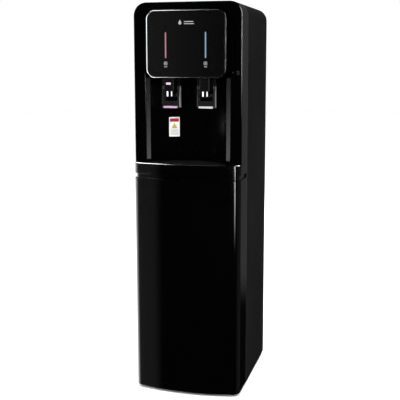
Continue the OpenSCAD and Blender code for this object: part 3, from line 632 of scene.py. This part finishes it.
bm = bmesh.new()
t = 2.5 * MM
play = 0.6 * MM
lens_dish(bm, [(play + 1.5 * MM, lens_lo.z), (play, lens_lo.z + 1.5 * MM), (play, lens_hi.z - 0.8 * MM),
               (play + 0.4 * MM, lens_hi.z - 0.2 * MM), (play + 1.0 * MM, lens_hi.z),
               (play + t - 0.8 * MM, lens_hi.z), (play + t - 0.2 * MM, lens_hi.z - 0.3 * MM),
               (play + t, lens_hi.z - 0.9 * MM), (play + t, lens_lo.z + t)])
tray_bowl = piece("drip_tray_bowl", bm, MATS["tray_black"], "drip_tray", ["drip_tray"], 0.0)

# ---- front frame ----

bm = bmesh.new()
face_r, in_r = 2.6 * MM, 1.6 * MM
z0 = frame_lo.z


def frame_ring():
    """Sections of the front frame: (which outline, its offset, y)."""
    out = []
    for k in range(7):
        a = math.radians(90 * k / 6)
        out.append(("arch", face_r - face_r * math.cos(a), y_frame + face_r - face_r * math.sin(a)))
    for k in range(6):
        a = math.radians(90 * k / 5)
        out.append(("open", in_r - in_r * math.sin(a), y_frame + in_r - in_r * math.cos(a)))
    inner_y = y_frame + opening_depth
    out += [("open", 0.0, inner_y), ("open", 2 * MM, inner_y),
            ("open", 2 * MM, y_frame + wall), ("arch", wall, y_frame + wall),
            ("arch", wall, y_wrap), ("arch", 0.0, y_wrap)]
    return out


section = frame_ring()
rails = [arch(d, z0) if kind == "arch" else opening(d, z0) for kind, d, _ in section]
loft(bm, along_arch(rails, [y for _, _, y in section]))
frame_shell = piece("front_frame_shell", bm, MATS["black_gloss"], "cabinet", ["front_frame"],
                    0.0)

# ---- niche ----

bm = bmesh.new()
z0, z1 = niche_lo.z, niche_top
mouth = math.degrees(math.atan2(y_frame + wall - niche_cy, niche_half))
inner = arc(0, niche_cy, niche_r, 180 - mouth, mouth, 64)
outer_wall = arc(0, niche_cy, niche_r + 2.5 * MM, 180 - mouth, mouth, 64)
for a, b, c, d in zip(inner, inner[1:], outer_wall[1:], outer_wall):
    quad = [a, b, c, d]
    low = [bm.verts.new((x, y, z0)) for x, y in quad]
    high = [bm.verts.new((x, y, z1)) for x, y in quad]
    bm.faces.new(low)
    bm.faces.new(high[::-1])
    bm.faces.new((low[0], low[1], high[1], high[0]))
    bm.faces.new((low[2], low[3], high[3], high[2]))
ends = [(inner[0], outer_wall[0]), (inner[-1], outer_wall[-1])]
for a, d in ends:
    bm.faces.new([bm.verts.new(p) for p in ((*a, z0), (*d, z0), (*d, z1), (*a, z1))])
piece("niche_wall", bm, MATS["niche_gloss"], "cabinet", ["niche_panel"], 0.0)

bm = bmesh.new()
prism(bm, arc(0, niche_cy, niche_r + 2.4 * MM, 180 - mouth, mouth, 48), xy, z1, z1 + 2.5 * MM)
piece("niche_ceiling", bm, MATS["niche_gloss"], "cabinet", (), 0.0)

# the slanted face along each upright edge of the niche
flange_w, flange_d, flange_t = 11.5 * MM, 3 * MM, 1.2 * MM
flanges = []
for s, side in ((-1, "left"), (1, "right")):
    bm = bmesh.new()
    x0, y0 = s * (niche_half - 0.2 * MM), y_frame + wall
    x1, y1 = s * (niche_half - flange_w), y0 + flange_d
    prism(bm, [(x0, y0), (x1, y1), (x1, y1 + flange_t), (x0, y0 + flange_t)], xy,
          deck_z + 8.4 * MM, niche_top - 0.4 * MM)
    flanges.append(piece("niche_flange_" + side, bm, MATS["niche_gloss"], "cabinet", (),
                         0.3 * MM, 2))

# ---- head ----

def head_loop(inset, y, n=12):
    """The head's outline, drawn in by an inset, at one y."""
    return [(u, y, v) for u, v in round_rect(2 * (head_half - inset), head_top - niche_top - 2 * inset,
                                             head_r - inset, 0, head_cz, n)]


def ring_solid(bm, section):
    """A section of (inset, y) points carried round the head's outline."""
    rails = [head_loop(inset, y) for inset, y in section]
    rings = [[rail[i] for rail in rails] for i in range(len(rails[0]))]
    loft(bm, rings, True)


bm = bmesh.new()
back_y = y_frame + opening_depth
ring_solid(bm, rounded([(0, y_head), (wall, y_head), (wall, back_y), (0, back_y)],
                       [0.4 * MM, 0.2 * MM, 0, 0], 3))
prism(bm, opening(-0.4 * MM, niche_top + 0.2 * MM), xz, back_y, back_y + 2 * MM)
piece("head_shell", bm, MATS["black_gloss"], "cabinet", ["head_housing"], 0.0)

bm = bmesh.new()
rim_w = 5 * MM
crown_w, crown_d = 3.6 * MM, 2.6 * MM
crown = [(crown_w * (1 - math.cos(a)), y_rim + crown_d * (1 - math.sin(a)))
         for a in (math.radians(90 * k / 10) for k in range(11))]
inner_edge = rim_w - 0.3 * MM
ring_solid(bm, [(0, y_head)] + crown + [(inner_edge - 0.3 * MM, y_rim + 0.1 * MM),
                                        (inner_edge, y_rim + 0.5 * MM), (inner_edge, y_head)])
head_rim = piece("head_rim", bm, MATS["trim_silver"], "cabinet", ["head_trim_ring"], 0.0)

bm = bmesh.new()
glass_lo, glass_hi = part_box("control_glass")
bar_x, bar_z, bar_w, bar_h = 55.5 * MM, 975 * MM, 3.7 * MM, 68 * MM
bar_gap = 0.2 * MM
bars = [round_rect(bar_w + bar_gap, bar_h + bar_gap, 1.9 * MM, s * bar_x, bar_z, 8) for s in (-1, 1)]
face = round_rect(2 * (head_half - rim_w), head_top - niche_top - 2 * rim_w, head_r - rim_w, 0, head_cz, 12)
plate(bm, face, [b[::-1] for b in bars], xz, glass_lo.y, glass_hi.y)
head_glass = piece("head_glass", bm, MATS["black_glass"], "cabinet", ["control_glass"], 0.0)

for s, colour in ((-1, "red"), (1, "blue")):
    node = "light_bar_hot" if s < 0 else "light_bar_cold"
    lo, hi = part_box(node)
    bm = bmesh.new()
    prism(bm, round_rect(bar_w, bar_h, 1.8 * MM, s * bar_x, bar_z, 10), xz, lo.y - 0.1 * MM, hi.y)
    piece(node + "_pipe", bm, MATS["light_" + colour], "cabinet", [node], 0.3 * MM)

# ---- printed marks on the glass: a droplet and plain strokes ----

print_y = (glass_lo.y - 0.15 * MM, glass_lo.y + 0.3 * MM)


def droplet(cx, cz, r):
    """A drop outline: a round foot and a pointed top."""
    foot = arc(cx, cz, r, 150, 390, 20)
    return foot + [(cx, cz + 2.1 * r)]


bm = bmesh.new()
drop_x, drop_z, drop_r = -15 * MM, 1033 * MM, 4.2 * MM
prism(bm, droplet(drop_x, drop_z, drop_r), xz, *print_y)
stroke_x0, stroke_h = -4 * MM, 2.2 * MM
for z, x1 in ((1036.5 * MM, 22 * MM), (1031 * MM, 24 * MM)):
    stroke = round_rect(x1 - stroke_x0, stroke_h, 1.0 * MM, (x1 + stroke_x0) / 2, z, 4)
    prism(bm, stroke, xz, *print_y)
piece("face_mark", bm, MATS["print_grey"], "cabinet", (), 0.0)
for s, name in ((-1, "hot"), (1, "cold")):
    bm = bmesh.new()
    cx = s * bar_x
    cz, stroke_z = 927 * MM, 918 * MM
    outer_loop = round_rect(9 * MM, 9 * MM, 2 * MM, cx, cz, 5)
    inner_loop = round_rect(6.6 * MM, 6.6 * MM, 1.2 * MM, cx, cz, 5)
    plate(bm, outer_loop, [inner_loop[::-1]], xz, *print_y)
    prism(bm, droplet(cx, cz - 0.7 * MM, 1.7 * MM), xz, *print_y)
    prism(bm, round_rect(9 * MM, 1.6 * MM, 0.7 * MM, cx, stroke_z, 4), xz, *print_y)
    piece(name + "_mark", bm, MATS["print_grey"], "cabinet", (), 0.0)

bm = bmesh.new()
post_y = (y_frame - 0.2 * MM, y_frame + 0.3 * MM)
dot_x, dot_z, dash_x, dash_zs = 127 * MM, 903 * MM, 141 * MM, (905 * MM, 899 * MM)
prism(bm, round_rect(2 * MM, 2 * MM, 0.9 * MM, dot_x, dot_z, 5), xz, *post_y)
for z in dash_zs:
    prism(bm, round_rect(8 * MM, 0.9 * MM, 0.4 * MM, dash_x, z, 3), xz, *post_y)
piece("post_mark", bm, MATS["print_dim"], "cabinet", (), 0.0)

# ---- cabinet sheet metal ----

sheet_t, front_fold, rear_fold = 1.2 * MM, 9 * MM, 16 * MM
for s, side in ((-1, "left"), (1, "right")):
    bm = bmesh.new()
    node = "side_panel_" + side
    lo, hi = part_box(node)
    x_out = s * half_w
    x_in = x_out - s * sheet_t
    x_front, x_back = x_out - s * front_fold, x_out - s * rear_fold
    section = [(x_out, lo.y), (x_front, lo.y), (x_front, lo.y + sheet_t), (x_in, lo.y + sheet_t),
               (x_in, hi.y - sheet_t), (x_back, hi.y - sheet_t), (x_back, hi.y), (x_out, hi.y)]
    prism(bm, rounded(section, [0.6 * MM, 0, 0, 0, 0, 0, 0, 0.9 * MM], 4), xy, lo.z, hi.z)
    sheet = piece(node + "_sheet", bm, MATS["side_steel"], "cabinet", [node], 0.25 * MM, 2)
    if s < 0:
        side_left = sheet

    # a lighter strip down each side panel's front edge and along its top edge: a painted highlight standing
    # in for light caught on the sheet's bent edges
    bm = bmesh.new()
    highlight_w = 0.9 * MM
    a, b = sorted((x_out - s * 1.5 * MM, x_out))
    strip = [(a, lo.y), (b, lo.y), (b, lo.y + highlight_w), (a, lo.y + highlight_w)]
    prism(bm, rounded(strip, [0.5 * MM] * 4, 3), xy, lo.z, hi.z)
    brick(bm, (a, lo.y + highlight_w, hi.z - highlight_w), (b, hi.y - 1 * MM, hi.z))
    piece(node + "_edge", bm, MATS["painted_highlight_edge"], "cabinet", (), 0.0)

bm = bmesh.new()
cover_lo, cover_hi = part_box("top_cover")
z0 = cover_lo.z


def cover_section():
    """(inset, y) points across the top cover's thickness, from its rear edge to its front edge."""
    out = []
    r, front_r = 1.2 * MM, 0.6 * MM
    for k in range(5):
        a = math.radians(90 * k / 4)
        out.append((r - r * math.sin(a), cover_hi.y - r + r * math.cos(a)))
    out = [(wall, cover_hi.y)] + out
    for k in range(4):
        a = math.radians(90 * k / 3)
        out.append((front_r - front_r * math.cos(a), cover_lo.y + front_r - front_r * math.sin(a)))
    return out + [(wall, cover_lo.y)]


section = cover_section()
rails = [arch(d, z0) for d, _ in section]
loft(bm, along_arch(rails, [y for _, y in section]))
prism(bm, arch(wall - 0.1 * MM, z0), xz, cover_hi.y - wall, cover_hi.y)
piece("top_cover_shell", bm, MATS["side_steel"], "cabinet", ["top_cover"], 0.0)

# ---- taps ----

nozzle_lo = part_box("hot_nozzle")[0]
lever_lo, lever_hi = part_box("hot_lever")
tap_lo, tap_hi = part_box("hot_tap_body")
tap_x = 50 * MM
spout_w, spout_l, tap_l = 28 * MM, 21 * MM, 59 * MM
foot_z = 852 * MM
shelf_w, shelf_z = 40 * MM, 868 * MM
stay_w, stay_y, stay_z = 16 * MM, (y_frame + 30 * MM, y_frame + 56 * MM), 832 * MM
shank_z, shank_r, shank_y = 876 * MM, 9 * MM, -66 * MM
nozzle_y, nozzle_r, bore_r = -151 * MM, 10 * MM, 5 * MM
pivot_y, pivot_z = -135 * MM, 860 * MM
lever_w = lever_hi.x - lever_lo.x
arm, rail_w, film = 5.1 * MM, 1.5 * MM, 0.4 * MM
half = lever_w / 2
bar_top = lever_lo.z + 20 * MM
frame_top = pivot_z - 2 * MM
face_y = pivot_y - 8 * MM
cross_z = (835 * MM, 845 * MM)
lip_w, lip_d, lip_y = 40 * MM, 7.6 * MM, pivot_y - 10.4 * MM
nozzles = []
blocks = []
brackets = []
yokes = []
rails = []
for s, name in ((-1, "hot"), (1, "cold")):
    cx = s * tap_x
    bm = bmesh.new()
    y0, y1, y2 = tap_lo.y, tap_lo.y + spout_l, tap_lo.y + tap_l
    spout = round_rect(spout_w, y1 - y0 + 2 * MM, 3 * MM, cx, (y0 + y1) / 2 + 1 * MM, 6)
    prism(bm, spout, xy, foot_z, tap_hi.z)
    blocks.append(piece(name + "_spout_block", bm, MATS["tap_black"], "cabinet",
                        [name + "_tap_body"], 0.9 * MM))
    bm = bmesh.new()
    for w, ya, yb, za, zb in ((lever_w, y1, y2, shelf_z, tap_hi.z),
                              (shelf_w, y1, y2, foot_z, shelf_z + 0.2 * MM),
                              (stay_w, *stay_y, stay_z, foot_z + 0.2 * MM)):
        brick(bm, (cx - w / 2, ya, za), (cx + w / 2, yb, zb))
    brackets.append(piece(name + "_tap_bracket", bm, MATS["tap_black"], "cabinet", (),
                          0.8 * MM))
    bm = bmesh.new()
    turned(bm, [(shank_r, y2 - 0.5 * MM), (shank_r, shank_y)], lambda a, b, h: (cx + a, h, shank_z + b))
    piece(name + "_tap_shank", bm, MATS["tap_black"], "cabinet", (), 0.4 * MM)
    bm = bmesh.new()
    r, z0 = nozzle_r, nozzle_lo.z
    turned(bm, [(r, foot_z), (r, z0 + 1.2 * MM), (r - 0.35 * MM, z0 + 0.35 * MM), (r - 1.2 * MM, z0),
                (bore_r + 0.6 * MM, z0), (bore_r, z0 + 0.6 * MM), (bore_r, foot_z)],
           lambda a, b, h: (cx + a, nozzle_y + b, h), 48)
    nozzles.append(piece(name + "_nozzle_tube", bm, MATS["nozzle_chrome"], "cabinet",
                         [name + "_nozzle"], 0.0))

    # the U-shaped lever: a front frame, two arms, a cross bar, grey side faces on the arms painted lighter
    # as a highlight, and a coloured lip
    bm = bmesh.new()
    outline = rounded([(-half, lever_lo.z), (half, lever_lo.z), (half, frame_top), (half - arm, frame_top),
                       (half - arm, bar_top), (arm - half, bar_top), (arm - half, frame_top),
                       (-half, frame_top)],
                      [3 * MM, 3 * MM, 0, 0, 4 * MM, 4 * MM, 0, 0], 5)
    prism(bm, [(cx + u * (1 - rail_w / half), v) for u, v in outline], xz, face_y, pivot_y - 2 * MM)
    ya, yb, zc = pivot_y - 7 * MM, pivot_y + 6 * MM, pivot_z + 6.8 * MM
    profile = [(ya, lever_lo.z + 2 * MM), (yb, lever_lo.z + 2 * MM), (yb, pivot_z), (yb - 2 * MM, zc),
               (ya + 1 * MM, zc), (ya, pivot_z)]
    profile = rounded(profile, [2 * MM, 2 * MM, 3 * MM, 3 * MM, 3 * MM, 3 * MM], 5)
    for t in (-1, 1):
        a, b = sorted((t * (half - 0.5 * MM), t * (half - arm + 0.5 * MM)))
        prism(bm, profile, yz, cx + a, cx + b)
    brick(bm, (cx - half + arm, pivot_y + 2 * MM, cross_z[0]),
          (cx + half - arm, pivot_y + 6 * MM, cross_z[1]))
    yokes.append(piece(name + "_lever_yoke", bm, MATS["lever_smoke"], name + "_lever",
                       [name + "_lever"], 0.5 * MM))
    bm = bmesh.new()
    for t, slope in ((-1, 0.9 * MM), (1, 1.6 * MM)):
        x0, x1 = cx + t * (half - rail_w), cx + t * (half - 0.05 * MM)
        y0 = face_y + 0.1 * MM
        prism(bm, [(x0, y0), (x1, y0 + slope), (x1, y0 + 3 * MM), (x0, y0 + 3 * MM)], xy,
              lever_lo.z + 3 * MM, frame_top)
    rails.append(piece(name + "_lever_rail", bm, MATS["lever_smoke"], name + "_lever", (),
                       0.1 * MM, 1))
    # thin grey films on the arms' side faces: a painted highlight, lighter than the smoke plastic, standing
    # in for light caught on the arms' edges
    bm = bmesh.new()
    for t in (-1, 1):
        for x in (half - film, half - arm):
            a, b = sorted((t * x, t * (x + film)))
            prism(bm, profile, yz, cx + a, cx + b)
    piece(name + "_lever_edge", bm, MATS["lever_edge"], name + "_lever", (), 0.15 * MM, 1)
    bm = bmesh.new()
    prism(bm, round_rect(lip_w, lip_d, 2.6 * MM, cx, lip_y, 6), xy,
          lever_lo.z + 0.3 * MM, lever_lo.z + 6 * MM)
    lip_finish = MATS["lip_pink" if s < 0 else "lip_white"]
    piece(name + "_lever_lip", bm, lip_finish, name + "_lever", (), 1.2 * MM, 4)

bm = bmesh.new()
prism(bm, round_rect(button_hi.x - button_lo.x, button_hi.z - button_lo.z, 2 * MM, -tap_x,
                     (button_lo.z + button_hi.z) / 2, 6), xz, button_lo.y, button_hi.y)
piece("lock_button_cap", bm, MATS["lock_pink"], "child_lock", ["child_lock_button"],
      0.8 * MM, 4)

# ---- grille ----

bm = bmesh.new()
grille_lo, grille_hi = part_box("tray_grille")
edge = 3.6 * MM
slots = []
slot_pitch, slot_w, rib_half, margin_r = 9 * MM, 4.5 * MM, 4 * MM, niche_r - 23 * MM
slot_start, front_band = y_front + 25 * MM, y_front + 30 * MM
longest, longest_in_front, shortest = 106 * MM, 62 * MM, 20 * MM
for i in range(8):
    y = slot_start + i * slot_pitch
    fit = min(longest, math.sqrt(max(0.0, margin_r ** 2 - (y + slot_w - niche_cy) ** 2)))
    if y < front_band:
        fit = min(fit, longest_in_front)
    if fit > shortest:
        for x0, x1 in ((-fit, -rib_half), (rib_half, fit)):
            slots.append(round_rect(x1 - x0, slot_w, 2.1 * MM, (x0 + x1) / 2, y + slot_w / 2, 5))
plate(bm, lens(edge), [h[::-1] for h in slots], xy, grille_lo.z, grille_hi.z)
grille = piece("grille_plate", bm, MATS["grille_black"], "tray_grille", ["tray_grille"],
               0.5 * MM, 2)

# ---- materials on the CAD nodes ----

for node in NODES:
    finish_cad(node)

# ---- stage ----

floor_mesh = bmesh.new()
bmesh.ops.create_circle(floor_mesh, cap_ends=True, segments=96, radius=14.0)
floor = new_object("floor", floor_mesh, False)
fm = Nodes("floor_pale")
fm.colour(fm.mix(fm.span(fm.noise(3.0), 0.0, 1.0), (0.96, 0.96, 0.96), (0.94, 0.94, 0.94)))
fm.rough(fm.span(fm.noise(40.0), 0.6, 0.7))
fm.bump(fm.noise(60.0), 0.02, 0.0005)
floor.data.materials.append(fm.mat)
floor.visible_glossy = False

world = bpy.data.worlds.new("studio")
bpy.context.scene.world = world
world.use_nodes = True
wt = world.node_tree
path = wt.nodes.new("ShaderNodeLightPath")


def by_ray(kind, other, when):
    """The world's colour for one kind of ray, and the other colour for the rest."""
    m = wt.nodes.new("ShaderNodeMix")
    m.data_type = "RGBA"
    wt.links.new(path.outputs[kind], m.inputs[0])
    if isinstance(other, float):
        m.inputs[6].default_value = (other, other, other, 1)
    else:
        wt.links.new(other, m.inputs[6])
    m.inputs[7].default_value = (when, when, when, 1)
    return m.outputs[2]


AMBIENT, IN_GLOSS, BACKDROP = 0.34, 0.004, 1.0
sky = by_ray("Is Camera Ray", by_ray("Is Glossy Ray", AMBIENT, IN_GLOSS), BACKDROP)
wt.links.new(sky, wt.nodes["Background"].inputs["Color"])


def lamp(name, place, aim, size, power):
    """A soft lamp that lights matt surfaces but is not mirrored in gloss."""
    data = bpy.data.lights.new(name, "AREA")
    data.shape = "RECTANGLE"
    data.size, data.size_y = size
    data.energy = power
    obj = bpy.data.objects.new(name, data)
    obj.location = place
    obj.rotation_euler = (Vector(aim) - Vector(place)).to_track_quat("-Z", "Y").to_euler()
    obj.visible_camera = False
    obj.visible_glossy = False
    bpy.context.scene.collection.objects.link(obj)


def card(name, place, aim, size, glow, fades, only):
    """A glowing card seen only in gloss. fades are the soft shares of its width and height: left and right
    as the object sees it, foot and top. only lists the pieces that mirror it."""
    w, h = size
    bm = bmesh.new()
    corners = ((-w / 2, -h / 2, 0), (w / 2, -h / 2, 0), (w / 2, h / 2, 0), (-w / 2, h / 2, 0))
    bm.faces.new([bm.verts.new(p) for p in corners])
    mesh = bpy.data.meshes.new(name)
    bm.to_mesh(mesh)
    bm.free()
    obj = bpy.data.objects.new(name, mesh)
    bpy.context.scene.collection.objects.link(obj)
    obj.location = place
    obj.rotation_euler = (Vector(aim) - Vector(place)).to_track_quat("Z", "Y").to_euler()
    mat = bpy.data.materials.new(name)
    mat.use_nodes = True
    tree = mat.node_tree
    tree.nodes.clear()
    out = tree.nodes.new("ShaderNodeOutputMaterial")
    emit = tree.nodes.new("ShaderNodeEmission")
    coord = tree.nodes.new("ShaderNodeTexCoord")
    sep = tree.nodes.new("ShaderNodeSeparateXYZ")
    tree.links.new(coord.outputs["Object"], sep.inputs[0])
    value = None
    for k, (axis, sign, extent) in enumerate(((0, 1, w), (0, -1, w), (1, 1, h), (1, -1, h))):
        ramp = tree.nodes.new("ShaderNodeMapRange")
        ramp.interpolation_type = "SMOOTHSTEP"
        edge = -sign * extent / 2
        ramp.inputs["From Min"].default_value = edge
        ramp.inputs["From Max"].default_value = edge + sign * fades[k] * extent
        tree.links.new(sep.outputs[axis], ramp.inputs["Value"])
        part = tree.nodes.new("ShaderNodeMath")
        part.operation = "MULTIPLY"
        part.inputs[1].default_value = glow
        if value is not None:
            tree.links.new(value, part.inputs[1])
        tree.links.new(ramp.outputs["Result"], part.inputs[0])
        value = part.outputs[0]
    tree.links.new(value, emit.inputs["Strength"])
    clear = tree.nodes.new("ShaderNodeBsdfTransparent")
    both = tree.nodes.new("ShaderNodeAddShader")
    tree.links.new(emit.outputs[0], both.inputs[0])
    tree.links.new(clear.outputs[0], both.inputs[1])
    tree.links.new(both.outputs[0], out.inputs["Surface"])
    mesh.materials.append(mat)
    obj.visible_camera = False
    obj.visible_diffuse = False
    obj.visible_shadow = False
    obj.visible_transmission = False
    receivers = bpy.data.collections.new(name + "_receivers")
    for target in only:
        receivers.objects.link(target)
    obj.light_linking.receiver_collection = receivers


def around(azimuth, distance, z):
    """A place seen from the middle of the front, azimuth in degrees: 0 in front, 90 to the right."""
    a = math.radians(azimuth)
    return (distance * math.sin(a), y_frame - distance * math.cos(a), z)


lamp("overhead", (0.2, -0.6, 3.4), (0, 0, 0.4), (3.2, 3.2), 150)
lamp("front_fill", (-0.7, -3.2, 1.9), (0, 0, 0.6), (2.4, 2.4), 55)
lamp("right_fill", (2.6, -1.0, 1.7), (0, 0, 0.6), (1.8, 1.8), 55)
lamp("left_fill", (-2.4, -1.6, 1.5), (0, 0, 0.6), (1.6, 1.6), 30)
lamp("rear_fill", (-0.6, 2.8, 1.8), (0, 0, 0.6), (2.0, 2.0), 60)
sun_data = bpy.data.lights.new("sky_light", "SUN")
sun_data.energy = 2.7
sun_data.angle = math.radians(100)
sun = bpy.data.objects.new("sky_light", sun_data)
sun.rotation_euler = (math.radians(8), 0, math.radians(-10))
sun.visible_glossy = False
bpy.context.scene.collection.objects.link(sun)

# the two usual sets of fades
SOFT, CRISP = (0.2, 0.2, 0.2, 0.2), (0.02, 0.02, 0.1, 0.1)
covers = (door_shell, tray_shell, frame_shell)
taps = blocks + brackets + yokes
card("card_left", around(-98, 1.5, 0.1), (0, y_frame, 0.1),
     (3.4, 4.0), 4.6, (0.45, 0.3, 0.1, 0.2), covers + (side_left,))
card("card_left_weak", around(-68, 2.0, 0.1), (0, y_frame, 0.1),
     (2.9, 4.0), 0.2, (0.16, 0.1, 0.1, 0.2), (door_shell, tray_shell))
card("card_right_weak", around(95, 2.0, 0.1), (0, y_frame, 0.1),
     (4.4, 4.0), 0.11, (0.1, 0.2, 0.1, 0.2), covers)
card("card_rear_weak", around(160, 2.4, 0.7), (half_w, 0, 0.7),
     (2.4, 2.4), 0.09, (0.1, 0.1, 0.1, 0.1), covers)
card("card_corner", around(22, 2.2, 0.7), (0.13, -0.15, 0.7),
     (0.1, 1.6), 40.0, (0.2, 0.2, 0.25, 0.2), (door_shell, tray_shell))
card("card_edge", around(52, 1.9, 1.5), (half_w, y_frame, 0.9),
     (1.8, 1.9), 22.0, (0.2, 0.2, 0.25, 0.2), (frame_shell,))
card("deck_card_left", (-2.2, -0.3, 2.6), (-2.2, -0.3, 0.0),
     (2.5, 3.0), 100.0, (0.05, 0.05, 0.1, 0.1), (tray_shell,))
card("deck_card_right", (1.05, 0.8, 2.6), (1.05, 0.8, 0.0), (1.5, 2.0), 150.0, SOFT, (tray_shell,))
card("deck_card_top", (-0.5, -0.4, 2.6), (-0.5, -0.4, 0.0),
     (1.2, 1.8), 3.0, (0.1, 0.1, 0.2, 0.2), (tray_shell,))
card("grille_card", (-0.5, 0.3, 2.6), (-0.5, 0.3, 0.0), (1.6, 2.2), 9.0, SOFT, (tray_bowl, grille))
card("rim_card_left", around(-64, 2.0, 0.95), (0, y_frame, 0.95), (2.7, 1.8), 2.2, CRISP, (head_rim,))
card("rim_card_top", (-1.155, -0.9, 2.6), (-1.155, -0.9, 0.0),
     (1.3, 1.6), 3.5, (0.04, 0.04, 0.2, 0.2), (head_rim,))
card("rim_card_low", (-0.835, -0.6, 0.04), (-0.835, -0.6, 1.0),
     (0.9, 1.2), 3.0, (0.04, 0.04, 0.2, 0.2), (head_rim,))
card("rim_card_right", around(60, 1.8, 0.9), (0, y_frame, 0.9), (2.4, 1.8), 0.16, SOFT, (head_rim,))
card("glass_card", (-0.975, -2.15, 0.9), (-0.975, 0.0, 0.9),
     (1.25, 1.6), 0.16, (0.4, 0.1, 0.1, 0.1), (head_glass,))
card("flange_card_left", around(13, 1.6, 0.375), (0, y_frame, 0.375),
     (0.9, 0.95), 6.5, (0.2, 0.2, 0.1, 0.53), (flanges[0],))
card("flange_card_right", around(-45, 1.6, 0.375), (0, y_frame, 0.375),
     (0.9, 0.95), 6.5, (0.2, 0.2, 0.1, 0.53), (flanges[1],))
card("nozzle_card_left", around(-80, 1.2, 0.7), (0, y_frame, 0.84), (2.2, 0.9), 3.0, CRISP, nozzles)
card("nozzle_card_right", around(88, 1.2, 0.7), (0, y_frame, 0.84),
     (2.2, 0.9), 2.4, (0.02, 0.3, 0.1, 0.1), nozzles)
card("tap_card_left", around(-66, 1.6, 0.7), (0, y_frame, 0.85), (1.6, 1.0), 1.2, SOFT, taps)
card("rail_card_right", around(74, 1.5, 0.8), (0, y_frame, 0.85), (1.1, 1.0), 9.0, SOFT, rails)
card("rail_card_left", around(-76, 1.5, 0.8), (0, y_frame, 0.85), (0.9, 1.0), 1.4, SOFT, rails)
card("tap_card_right", around(60, 1.6, 0.7), (0, y_frame, 0.85), (1.6, 1.0), 1.6, SOFT, taps)

# ---- camera ----

cam_data = bpy.data.cameras.new("camera")
cam_data.sensor_width = 36.0
cam_data.lens = 69.6
cam_data.shift_x = -0.02
cam_data.shift_y = -0.035
camera = bpy.data.objects.new("camera", cam_data)
tilt, turn = 81.21, 14.89
camera.location = (0.596, -2.176, 0.919)
camera.rotation_euler = (math.radians(tilt), 0, math.radians(turn))
bpy.context.scene.collection.objects.link(camera)
bpy.context.scene.camera = camera
bpy.context.scene.view_settings.view_transform = "Standard"
